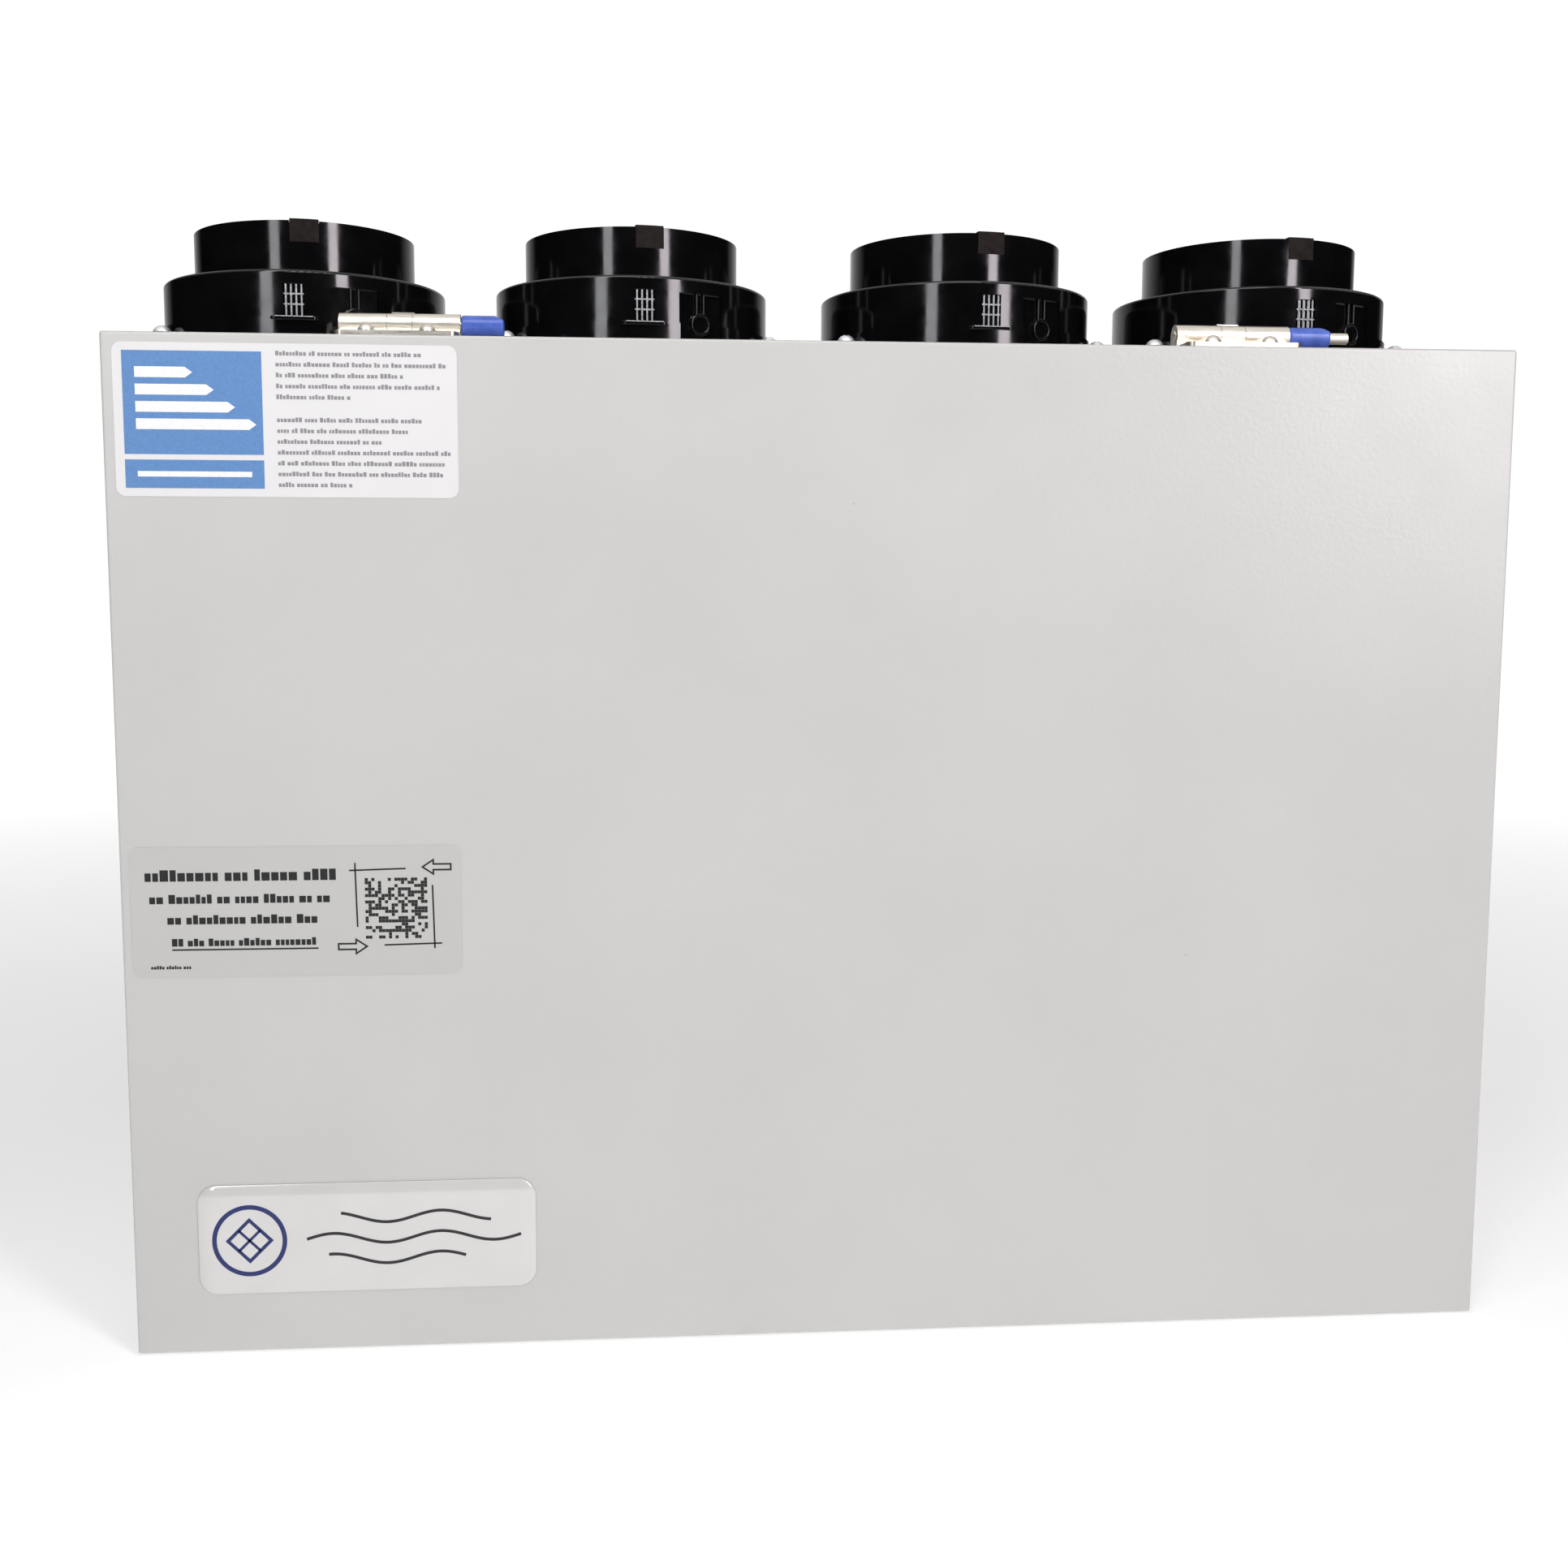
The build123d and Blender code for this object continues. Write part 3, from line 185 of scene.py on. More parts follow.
def add_studio():
    """Two tall strips that streak the collars, and a small lamp over the door's top edge."""
    add_world()
    rim = (0, 0, cad_high.z)
    area_light("strip_left", place=(-1.02, -2.0, 1.42), aim=rim, width=0.4, height=STRIP_HEIGHT,
               power=12, colour=(0.95, 0.96, 1.0))
    area_light("strip_right", place=(1.26, -1.95, 1.22), aim=rim, width=0.42, height=STRIP_HEIGHT,
               power=24.5, colour=(1.0, 0.93, 0.985))
    area_light("key_over", place=(-0.12, -0.5, 0.95), aim=(-0.12, -0.3, 0.0), width=0.7, height=0.3,
               power=2.2, colour=(1.0, 0.995, 0.98))
    add_floor()


# ---------------------------------------------------------------- material helpers
class Recipe:
    """A Principled material with short helpers for procedural detail.

    A texture's scale counts its features to a metre, and a bump's distance is in metres.
    """

    def __init__(self, name, colour, roughness, metallic=0.0, **extra):
        self.material = bpy.data.materials.new(name)
        self.material.use_nodes = True
        self.tree = self.material.node_tree
        self.shader = self.tree.nodes["Principled BSDF"]
        self.shader.inputs["Base Color"].default_value = (*colour, 1.0)
        self.shader.inputs["Roughness"].default_value = roughness
        self.shader.inputs["Metallic"].default_value = metallic
        for socket, value in extra.items():
            self.shader.inputs[socket.replace("_", " ")].default_value = value
        self.coord = self.tree.nodes.new("ShaderNodeTexCoord").outputs["Object"]
        self.height = None

    def node(self, kind, **values):
        made = self.tree.nodes.new(kind)
        for socket, value in values.items():
            made.inputs[socket.replace("_", " ")].default_value = value
        return made

    def join(self, source, target):
        self.tree.links.new(source, target)

    def stretched(self, scale):
        mapping = self.node("ShaderNodeMapping", Scale=scale)
        self.join(self.coord, mapping.inputs["Vector"])
        return mapping.outputs[0]

    def noise(self, scale, detail=3.0, stretch=None, rough=0.55):
        made = self.node("ShaderNodeTexNoise", Scale=scale, Detail=detail, Roughness=rough)
        self.join(self.stretched(stretch) if stretch else self.coord, made.inputs["Vector"])
        return made.outputs["Fac"]

    def cells(self, scale, stretch=None):
        made = self.node("ShaderNodeTexVoronoi", Scale=scale)
        self.join(self.stretched(stretch) if stretch else self.coord, made.inputs["Vector"])
        return made

    def bands(self, scale, direction, distortion=0.0):
        made = self.node("ShaderNodeTexWave", Scale=scale, Distortion=distortion)
        made.bands_direction = direction
        self.join(self.coord, made.inputs["Vector"])
        return made.outputs["Fac"]

    def remap(self, source, low, high, start=0.35, end=0.65):
        made = self.node("ShaderNodeMapRange", From_Min=start, From_Max=end, To_Min=low, To_Max=high)
        self.join(source, made.inputs["Value"])
        return made.outputs[0]

    def tint(self, source, low, high, start=0.35, end=0.65):
        """Base colour runs from low to high as source runs from start to end."""
        made = self.tree.nodes.new("ShaderNodeMix")
        made.data_type = "RGBA"
        made.inputs["A"].default_value = (*low, 1.0)
        made.inputs["B"].default_value = (*high, 1.0)
        self.join(self.remap(source, 0.0, 1.0, start, end), made.inputs["Factor"])
        self.join(made.outputs["Result"], self.shader.inputs["Base Color"])
        return self

    def tint_over(self, source, colour, start, end):
        """Lays a second colour over the tint as source runs from start to end."""
        made = self.tree.nodes.new("ShaderNodeMix")
        made.data_type = "RGBA"
        target = self.shader.inputs["Base Color"]
        self.join(target.links[0].from_socket, made.inputs["A"])
        made.inputs["B"].default_value = (*colour, 1.0)
        self.join(self.remap(source, 0.0, 1.0, start, end), made.inputs["Factor"])
        self.join(made.outputs["Result"], target)
        return self

    def gloss(self, source, low, high, start=0.35, end=0.65):
        """Roughness runs from low to high as source runs from start to end."""
        self.join(self.remap(source, low, high, start, end), self.shader.inputs["Roughness"])
        return self

    def bump(self, source, distance, strength=1.0):
        """Adds a relief to the ones before it."""
        made = self.node("ShaderNodeBump", Strength=strength, Distance=distance)
        self.join(source, made.inputs["Height"])
        if self.height is not None:
            self.join(self.height, made.inputs["Normal"])
        self.height = made.outputs[0]
        self.join(self.height, self.shader.inputs["Normal"])
        return self


def floor_paper():
    """White paper that takes a soft shadow near the object and glows like the backdrop farther off."""
    white, dark = (0.86, 0.86, 0.86), (0.02, 0.02, 0.02)
    made = Recipe("floor_paper", white, 0.7)
    length = made.tree.nodes.new("ShaderNodeVectorMath")
    length.operation = "LENGTH"
    made.join(made.coord, length.inputs[0])
    away = length.outputs["Value"]
    made.tint(away, white, dark, FADE_START, FADE_END)
    made.join(made.remap(away, 0.44, 1.0, FADE_START, FADE_END), made.shader.inputs["Emission Strength"])
    made.shader.inputs["Emission Color"].default_value = (1.0, 1.0, 1.0, 1.0)
    return made.bump(made.noise(900, 3), 0.05 * MM).material


def powder_coat():
    """Baked powder paint: fine orange peel, faint cloudiness, a few dull patches and dust specks."""
    low, high = (0.514, 0.517, 0.496), (0.537, 0.539, 0.518)
    made = Recipe("powder_coat", high, 0.33, Specular_IOR_Level=0.75)
    made.tint(made.noise(9, 4), low, high)
    specks = made.cells(26)
    made.tint_over(specks.outputs["Distance"], (0.44, 0.43, 0.41), 0.016, 0.010)
    made.gloss(made.noise(24, 5), 0.3, 0.37)
    made.bump(made.noise(420, 2), 0.16 * MM, 0.5)
    return made.bump(made.noise(1900, 3), 0.05 * MM, 0.6).material


def galvanised():
    """Zinc spangle: flat crystals with their own shade and gloss."""
    made = Recipe("galvanised", (0.55, 0.56, 0.57), 0.38, 0.9)
    crystals = made.cells(95, stretch=(1, 1, 1.3))
    made.tint(crystals.outputs["Color"], (0.46, 0.47, 0.48), (0.62, 0.63, 0.64), 0.1, 0.9)
    made.gloss(crystals.outputs["Color"], 0.28, 0.5, 0.1, 0.9)
    return made.bump(made.noise(700, 3), 0.03 * MM, 0.5).material


def bead_foam():
    """Moulded bead foam: rounded beads a few millimetres across, pressed flat at the skin."""
    made = Recipe("bead_foam", (0.8, 0.81, 0.82), 0.7, Specular_IOR_Level=0.3)
    beads = made.cells(290)
    made.tint(beads.outputs["Color"], (0.74, 0.75, 0.765), (0.84, 0.845, 0.85), 0.1, 0.9)
    made.bump(beads.outputs["Distance"], -0.45 * MM, 0.7)
    return made.bump(made.noise(1500, 3), 0.06 * MM, 0.5).material


def collar_plastic():
    """Black moulded plastic, glossy, with a faint grain and handling marks in the gloss."""
    made = Recipe("collar_plastic", (0.0025, 0.0025, 0.003), 0.1, Specular_IOR_Level=0.5)
    made.tint(made.noise(60, 4), (0.002, 0.002, 0.0024), (0.0034, 0.0034, 0.0038))
    made.gloss(made.noise(130, 5), 0.08, 0.13)
    made.bump(made.noise(90, 2), 0.12 * MM, 0.12)
    return made.bump(made.noise(2600, 2), 0.01 * MM, 0.3).material


def painted_highlight_plastic():
    """The same plastic painted a light grey on the grips' ribs: a painted highlight where they catch the
    light.
    """
    made = Recipe("painted_highlight_plastic", (0.42, 0.43, 0.45), 0.4)
    # painted highlight: this pale grey stands in for light caught on the ribs
    made.tint(made.noise(1300, 4), (0.2, 0.205, 0.22), (0.55, 0.56, 0.58))
    made.gloss(made.noise(700, 3), 0.3, 0.5)
    return made.bump(made.noise(2400, 3), 0.03 * MM, 0.5).material


def moulded(name, colour, roughness=0.4):
    """Plain moulded plastic with a fine grain."""
    made = Recipe(name, colour, roughness)
    darker = tuple(c * 0.82 for c in colour)
    made.tint(made.noise(45, 4), darker, colour)
    made.gloss(made.noise(150, 4), roughness * 0.85, roughness * 1.2)
    return made.bump(made.noise(1700, 2), 0.04 * MM, 0.5).material


def clip_plastic():
    """Dull dark brown plastic."""
    made = Recipe("clip_plastic", (0.011, 0.006, 0.005), 0.6, Specular_IOR_Level=0.14)
    made.tint(made.noise(400, 4), (0.0065, 0.0037, 0.0032), (0.012, 0.0072, 0.0064))
    made.gloss(made.noise(300, 3), 0.52, 0.7)
    return made.bump(made.noise(1700, 2), 0.04 * MM, 0.5).material


def nickel():
    """Plated steel, smooth, with faint drawing marks along the barrel and a warm cast."""
    made = Recipe("nickel", (0.86, 0.8, 0.7), 0.3, 1.0)
    drawn = made.noise(160, 4, stretch=(0.6, 9, 9))
    made.tint(drawn, (0.82, 0.76, 0.66), (0.9, 0.85, 0.76))
    made.gloss(drawn, 0.27, 0.36)
    return made.bump(drawn, 0.02 * MM, 0.15).material


def zinc(name="zinc"):
    """Bright zinc plating, finely mottled."""
    made = Recipe(name, (0.9, 0.9, 0.91), 0.42, 0.85)
    made.tint(made.noise(350, 3), (0.8, 0.8, 0.81), (0.95, 0.95, 0.96))
    made.gloss(made.noise(500, 3), 0.36, 0.5)
    return made.bump(made.noise(1400, 2), 0.03 * MM, 0.5).material


def blue_vinyl():
    """Dipped vinyl: glossy, slightly wavy, with a thin cloudy bloom."""
    made = Recipe("blue_vinyl", (0.055, 0.12, 0.52), 0.3, Coat_Weight=0.3, Coat_Roughness=0.2)
    made.tint(made.noise(180, 3), (0.045, 0.1, 0.46), (0.075, 0.15, 0.6))
    made.gloss(made.noise(260, 3), 0.26, 0.42)
    return made.bump(made.noise(220, 2), 0.2 * MM, 0.4).material


def rubber(name, colour):
    """Dull rubber with a pale bloom."""
    made = Recipe(name, colour, 0.75, Specular_IOR_Level=0.3)
    made.tint(made.noise(300, 4), tuple(c * 0.7 for c in colour), colour)
    made.gloss(made.noise(120, 4), 0.62, 0.85)
    return made.bump(made.noise(2200, 3), 0.08 * MM, 0.6).material


def label_film(name="label_film", colour=(0.7, 0.7, 0.695)):
    """Satin printed film."""
    roughness = 0.42
    made = Recipe(name, colour, roughness)
    made.tint(made.noise(30, 3), tuple(c * 0.985 for c in colour), colour)
    made.gloss(made.noise(90, 3), roughness * 0.92, roughness * 1.1)
    return made.bump(made.noise(500, 2), 0.02 * MM, 0.3).material


def print_ink(name, colour, roughness=0.35):
    """Printed ink, slightly uneven."""
    made = Recipe(name, colour, roughness)
    made.tint(made.noise(900, 3), tuple(c * 0.88 for c in colour), colour)
    return made.bump(made.noise(3500, 2), 0.01 * MM, 0.3).material


def badge_dome():
    """Clear domed resin over a pale film."""
    made = Recipe("badge_dome", (0.62, 0.62, 0.602), 0.12, Coat_Weight=1.0, Coat_Roughness=0.05)
    made.tint(made.noise(40, 3), (0.606, 0.606, 0.589), (0.628, 0.628, 0.611))
    return made.bump(made.noise(55, 2), 0.1 * MM, 0.25).material


def core_sheet():
    """Pale blue plastic plates of the core."""
    made = Recipe("core_sheet", (0.72, 0.78, 0.84), 0.35)
    made.tint(made.noise(60, 4), (0.64, 0.7, 0.77), (0.76, 0.81, 0.86))
    made.gloss(made.noise(200, 3), 0.28, 0.45)
    return made.bump(made.noise(700, 3), 0.08 * MM, 0.5).material


def mill_aluminium():
    """Rolled aluminium with fine lines along the rolling direction."""
    made = Recipe("mill_aluminium", (0.78, 0.79, 0.8), 0.4, 0.85)
    rolled = made.noise(220, 4, stretch=(0.35, 0.35, 5))
    made.tint(rolled, (0.72, 0.73, 0.74), (0.82, 0.83, 0.84))
    made.gloss(rolled, 0.34, 0.48)
    return made.bump(rolled, 0.01 * MM, 0.2).material


def webbing():
    """Flat nylon webbing: a twill of fine slanted ribs."""
    made = Recipe("webbing", (0.03, 0.03, 0.033), 0.7, Sheen_Weight=0.3, Sheen_Roughness=0.5)
    twill = made.bands(260, "DIAGONAL", 0.4)
    made.tint(twill, (0.018, 0.018, 0.02), (0.05, 0.05, 0.055), 0.2, 0.8)
    made.bump(twill, 0.3 * MM, 0.6)
    return made.bump(made.bands(420, "X"), 0.15 * MM, 0.4).material


def filter_cloth():
    """Matted polyester fibres."""
    made = Recipe("filter_cloth", (0.78, 0.79, 0.78), 0.9, Sheen_Weight=0.4, Sheen_Roughness=0.6)
    fibres = made.noise(500, 6, stretch=(1, 0.35, 1), rough=0.7)
    made.tint(fibres, (0.6, 0.61, 0.6), (0.86, 0.87, 0.86))
    return made.bump(fibres, 0.6 * MM, 0.7).material


def filter_card():
    """Grey board of the filters' frames."""
    made = Recipe("filter_card", (0.5, 0.5, 0.49), 0.8)
    made.tint(made.noise(260, 5), (0.4, 0.4, 0.39), (0.55, 0.55, 0.54))
    return made.bump(made.noise(900, 4), 0.12 * MM, 0.6).material


def board_green():
    """Circuit board with faint tracks under its lacquer."""
    made = Recipe("board_green", (0.015, 0.14, 0.05), 0.3)
    tracks = made.cells(170, stretch=(1, 1, 0.3))
    made.tint(tracks.outputs["Color"], (0.012, 0.1, 0.04), (0.02, 0.17, 0.07), 0.3, 0.7)
    made.gloss(made.noise(200, 3), 0.2, 0.4)
    return made.bump(tracks.outputs["Distance"], 0.1 * MM, 0.4).material


def lens_green():
    """Clear green lens."""
    made = Recipe("lens_green", (0.15, 0.75, 0.25), 0.08, Transmission_Weight=0.6, IOR=1.49)
    made.tint(made.noise(400, 2), (0.12, 0.65, 0.2), (0.2, 0.8, 0.3))
    return made.bump(made.noise(800, 2), 0.03 * MM, 0.3).material


# ---------------------------------------------------------------- printed shapes
MITRE_LIMIT = 0.5
BLOCKS_IN_A_GROUP = (2, 9)
BLOCK_WIDTHS = (0.45, 0.72)  # shares of a row's height, like the next two
BLOCK_HEIGHTS = (0.74, 0.74, 0.74, 1.0)
GROUP_GAP = 0.45


class Stencil:
    """Flat printed shapes, each a closed film a few hundredths of a millimetre thick."""

    def __init__(self, surface):
        """surface gives the Y of the printed face at (x, z)."""
        self.surface = surface
        self.built = bmesh.new()

    def place(self, x, z, lift):
        return self.built.verts.new((x, self.surface(x, z) - lift, z))

    def front_and_back(self, x, z):
        """A point on the film's printed face, and the one behind it."""
        return self.place(x, z, INK), self.place(x, z, 0.0)

    def solid(self, points):
        """Closed film with the given outline, in metres in the plane of the door."""
        pairs = [self.front_and_back(x, z) for x, z in points]
        self.built.faces.new([pair[0] for pair in pairs])
        self.built.faces.new([pair[1] for pair in reversed(pairs)])
        for one, two in zip(pairs, pairs[1:] + pairs[:1]):
            self.built.faces.new((one[0], one[1], two[1], two[0]))

    def box(self, x0, x1, z0, z1):
        self.solid([(x0, z0), (x1, z0), (x1, z1), (x0, z1)])

    def line(self, points, width, closed=False):
        """Line of one width through the points, mitred at its corners."""
        corners = [Vector(point) for point in points]
        count = len(corners)
        rows = []
        for i, corner in enumerate(corners):
            before = corner - corners[i - 1] if closed or i else corners[1] - corner
            after = corners[(i + 1) % count] - corner if closed or i + 1 < count else before
            before, after = before.normalized(), after.normalized()
            along = (before + after).normalized()
            side = Vector((-along.y, along.x)) * (width / 2 / max(along.dot(before), MITRE_LIMIT))
            outer, inner = corner + side, corner - side
            rows.append(self.front_and_back(*outer) + self.front_and_back(*inner))
        for one, two in zip(rows, rows[1:] + (rows[:1] if closed else [])):
            for i, j in ((0, 1), (1, 3), (3, 2), (2, 0)):
                self.built.faces.new((one[i], one[j], two[j], two[i]))
        if not closed:
            for row in (rows[0], rows[-1]):
                self.built.faces.new((row[0], row[1], row[3], row[2]))

    def word_blocks(self, x0, x1, z, height, chance, gap=0.16):
        """Row of word-like groups of plain blocks, which say nothing; gap is a share of height."""
        x = x0
        while x < x1 - height / 2:
            for _ in range(chance.randint(*BLOCKS_IN_A_GROUP)):
                wide = height * chance.uniform(*BLOCK_WIDTHS)
                if x + wide > x1:
                    break
                tall = height * chance.choice(BLOCK_HEIGHTS)
                self.box(x, x + wide, z, z + tall)
                x += wide + gap * height
            x += GROUP_GAP * height

    def piece(self, name, material):
        """Ends the stencil: its shapes become one piece on the door."""
        bmesh.ops.recalc_face_normals(self.built, faces=self.built.faces)
        add_piece(name, self.built, material, "door")


def add_piece(name, built, material, body, smooth=False):
    """Turns a bmesh into an object that rides on a body."""
    mesh = bpy.data.meshes.new(name)
    built.to_mesh(mesh)
    built.free()
    if smooth:
        mesh.polygons.foreach_set("use_smooth", [True] * len(mesh.polygons))
    mesh.materials.append(material)
    made = bpy.data.objects.new(name, mesh)
    bpy.context.scene.collection.objects.link(made)
    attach(made, body)
    return made


def flat_at(y):
    """Surface of a flat label."""
    return lambda x, z: y


def spot(low, high, across, up):
    """Point at fractions of a label's width and height."""
    return low.x + across * (high.x - low.x), low.z + up * (high.z - low.z)


# Millimetres on the efficiency label: from its left edge, down from its top, or up from its foot
PANEL_LEFT, PANEL_RIGHT = 3.9, 60.2
FIELD_DROPS = (3.4, 45.4)
BAND_RISES = (3.4, 15.0)
BAR_MARGIN = 5
BAR_POINT = 3
BAND_LINE = 2.2
BARS = 4
BAR_TOP_ROOM = 1.55  # shares of one bar's step
BAR_THICK = 0.62
FIRST_BAR, BAR_GROWTH = 0.36, 0.15  # shares of the panel's width
TEXT_LEFT, TEXT_WIDTH = 65.9, 72
FIRST_LINE, LINE_PITCH, PARAGRAPH_GAP = 4.9, 4.42, 4.9
LINE_HEIGHT = 1.9
FIRST_PARAGRAPH = 5  # lines
LINE_ENDS = (0.83, 0.97, 0.72, 0.93, 0.42, 0.84, 0.76, 0.62, 0.99, 0.97, 0.95, 0.42)


def add_efficiency_print():
    """Blue panel with stepped bars and a plain band, beside twelve lines of grey blocks."""
    low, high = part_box("efficiency_label")
    chance = random.Random(LABEL_SEED)
    blue = Stencil(flat_at(low.y))
    left, right = low.x + PANEL_LEFT * MM, low.x + PANEL_RIGHT * MM
    field_top, field_foot = (high.z - drop * MM for drop in FIELD_DROPS)
    band_foot, band_top = (low.z + rise * MM for rise in BAND_RISES)
    blue.box(left, right, field_foot, field_top)
    blue.box(left, right, band_foot, band_top)
    blue.piece("efficiency_print_blue", print_ink("label_blue", (0.105, 0.245, 0.51), 0.6))

    white = Stencil(flat_at(low.y - INK))
    step = (field_top - field_foot) / (BARS + 2)
    start = left + BAR_MARGIN * MM
    for i in range(BARS):
        foot = field_top - step * (i + BAR_TOP_ROOM)
        end = start + (FIRST_BAR + BAR_GROWTH * i) * (right - left)
        top = foot + step * BAR_THICK
        tip = (end + BAR_POINT * MM, (foot + top) / 2)
        white.solid([(start, foot), (end, foot), tip, (end, top), (start, top)])
    middle = (band_foot + band_top) / 2
    white.line([(start, middle), (right - BAR_MARGIN * MM, middle)], BAND_LINE * MM)
    white.piece("efficiency_print_white", print_ink("label_white", (0.86, 0.87, 0.88)))

    grey = Stencil(flat_at(low.y))
    text_left = low.x + TEXT_LEFT * MM
    for i, end in enumerate(LINE_ENDS):
        foot = high.z - (FIRST_LINE + LINE_PITCH * i + (PARAGRAPH_GAP if i >= FIRST_PARAGRAPH else 0)) * MM
        grey.word_blocks(text_left, text_left + end * TEXT_WIDTH * MM, foot, LINE_HEIGHT * MM, chance)
    grey.piece("efficiency_print_grey", print_ink("label_grey_ink", (0.27, 0.265, 0.28)))


# Millimetres on the information label, from its lower left corner
WORD_ROWS = (  # start, end, foot, height
    (6.2, 87.0, 41.4, 4.9),
    (7.8, 85.8, 31.8, 3.9),
    (15.0, 79.2, 22.9, 3.9),
    (16.6, 77.9, 13.4, 3.3),
)
FOOTNOTE = (7.6, 25, 3.6, 1.5)
RULE_HEIGHT = 11.9
FINE_LINE = 0.7
TIGHT = 0.13  # gap between the rows' blocks, as a share of their height
SQUARE_LEFT, SQUARE_FOOT = 98.0, 15.7
CELLS, CELL = 19, 1.39
CELL_FILL = 0.96
CELL_CHANCE = 0.5
CROP_MARKS = (
    ((91.5, 45.4), (115.4, 46.0)),
    ((94.0, 48.7), (94.6, 20.9)),
    ((126.6, 38.8), (127.2, 11.2)),
    ((105.8, 12.9), (130.3, 13.4)),
)
ARROWS = ((128.5, 46.6, -1), (92.4, 12.4, 1))
ARROW_HALF, ARROW_HEAD, ARROW_BARB, ARROW_SHAFT = 6, 4.6, 3.1, 1.24
ARROW_LINE = 0.75


def arrow_outline(tip, tail, level, point):
    """Outline of an arrow at one level; point is 1 if it points right, -1 if left."""
    neck = tip - point * ARROW_HEAD * MM
    barb, shaft = ARROW_BARB * MM, ARROW_SHAFT * MM
    upper = [(neck, level + barb), (neck, level + shaft), (tail, level + shaft)]
    lower = [(x, 2 * level - z) for x, z in reversed(upper)]
    return [(tip, level)] + upper + lower


def add_info_print():
    """Rows of black blocks, a square of scattered cells in crop marks, and two arrows."""
    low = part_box("info_label")[0]
    chance = random.Random(LABEL_SEED + 1)
    ink = Stencil(flat_at(low.y))
    for start, end, foot, tall in WORD_ROWS:
        ink.word_blocks(low.x + start * MM, low.x + end * MM, low.z + foot * MM, tall * MM, chance, TIGHT)
    rule = low.z + RULE_HEIGHT * MM
    last_start, last_end = WORD_ROWS[-1][:2]
    ink.line([(low.x + last_start * MM, rule), (low.x + last_end * MM, rule)], FINE_LINE * MM)
    start, end, foot, tall = FOOTNOTE
    ink.word_blocks(low.x + start * MM, low.x + end * MM, low.z + foot * MM, tall * MM, chance)

    cell = CELL * MM
    left, foot = low.x + SQUARE_LEFT * MM, low.z + SQUARE_FOOT * MM
    for row in range(CELLS):
        for column in range(CELLS):
            if chance.random() < CELL_CHANCE:
                x, z = left + column * cell, foot + row * cell
                ink.box(x, x + cell * CELL_FILL, z, z + cell * CELL_FILL)
    for ends in CROP_MARKS:
        ink.line([(low.x + x * MM, low.z + z * MM) for x, z in ends], FINE_LINE * MM)
    for x, z, point in ARROWS:
        tip, tail = low.x + (x + ARROW_HALF * point) * MM, low.x + (x - ARROW_HALF * point) * MM
        ink.line(arrow_outline(tip, tail, low.z + z * MM, point), ARROW_LINE * MM, closed=True)
    ink.piece("info_print", print_ink("label_black", (0.006, 0.006, 0.006), 0.6))


# ---------------------------------------------------------------- domed badge
DOME_HEIGHT = 2.1 * MM
DOME_RIM = 0.45 * MM
DOME_SHOULDER = 7.5 * MM
SHOULDER_STEPS = 12
SHOULDER_CROWDING = 1.6
CROWN_INSETS = [12 * MM, 18 * MM, 23 * MM]
DOME_ROUNDNESS = 0.75
BADGE_CORNER = 8.0 * MM
TIGHTEST_CORNER = 0.6 * MM
CORNER_STEPS = 8

RING_ACROSS = 0.152  # shares of the badge's width and height
WAVES_START, WAVES_END = 0.32, 0.955
FIRST_WAVE, WAVE_PITCH = 0.69, 0.19
RING_RADIUS, RING_LINE = 15.0 * MM, 2.0 * MM
RING_STEPS = 64
DIAMOND_HALF, DIAMOND_LINE = 9.2 * MM, 1.5 * MM
PLATE_LINE = 1.2 * MM
WAVE_SPANS = ((0.16, 0.86), (0.0, 1.0), (0.1, 0.74))
WAVE_SWING, WAVE_LINE = 2.3 * MM, 1.35 * MM
WAVE_STEPS = 72


def rounded_outline(low, high, inset):
    """Rounded rectangle drawn in by inset, as (x, z) points."""
    radius = max(BADGE_CORNER - inset, TIGHTEST_CORNER)
    points = []
    for sx, sz, first in ((1, 1, 0), (-1, 1, 90), (-1, -1, 180), (1, -1, 270)):
        x = (high.x if sx > 0 else low.x) - sx * (inset + radius)
        z = (high.z if sz > 0 else low.z) - sz * (inset + radius)
        for step in range(CORNER_STEPS + 1):
            turn = math.radians(first + 90 * step / CORNER_STEPS)
            points.append((x + radius * math.cos(turn), z + radius * math.sin(turn)))
    return points


def dome_rise(inset):
    """Height of the resin at a distance from its edge: a steep rim, then almost flat."""
    along = min(inset / DOME_SHOULDER, 1.0)
    return DOME_RIM + (DOME_HEIGHT - DOME_RIM) * math.sin(along * math.pi / 2) ** DOME_ROUNDNESS


def add_badge():
    """Domed resin badge in place of the CAD one, with its print on the dome."""
    low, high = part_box("badge")
    built = bmesh.new()
    steps = range(SHOULDER_STEPS + 1)
    shoulder = [DOME_SHOULDER * (i / SHOULDER_STEPS) ** SHOULDER_CROWDING for i in steps]
    rows = [[built.verts.new((x, FACE_Y, z)) for x, z in rounded_outline(low, high, 0.0)]]
    for inset in shoulder + CROWN_INSETS:
        y = FACE_Y - dome_rise(inset)
        rows.append([built.verts.new((x, y, z)) for x, z in rounded_outline(low, high, inset)])
    for one, two in zip(rows, rows[1:]):
        for i in range(len(one)):
            j = (i + 1) % len(one)
            built.faces.new((one[i], one[j], two[j], two[i]))
    built.faces.new(rows[0])
    built.faces.new(rows[-1])
    bmesh.ops.recalc_face_normals(built, faces=built.faces)
    dome = add_piece("badge_resin", built, badge_dome(), "door", smooth=True)
    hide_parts("badge")
    add_badge_print(low, high)


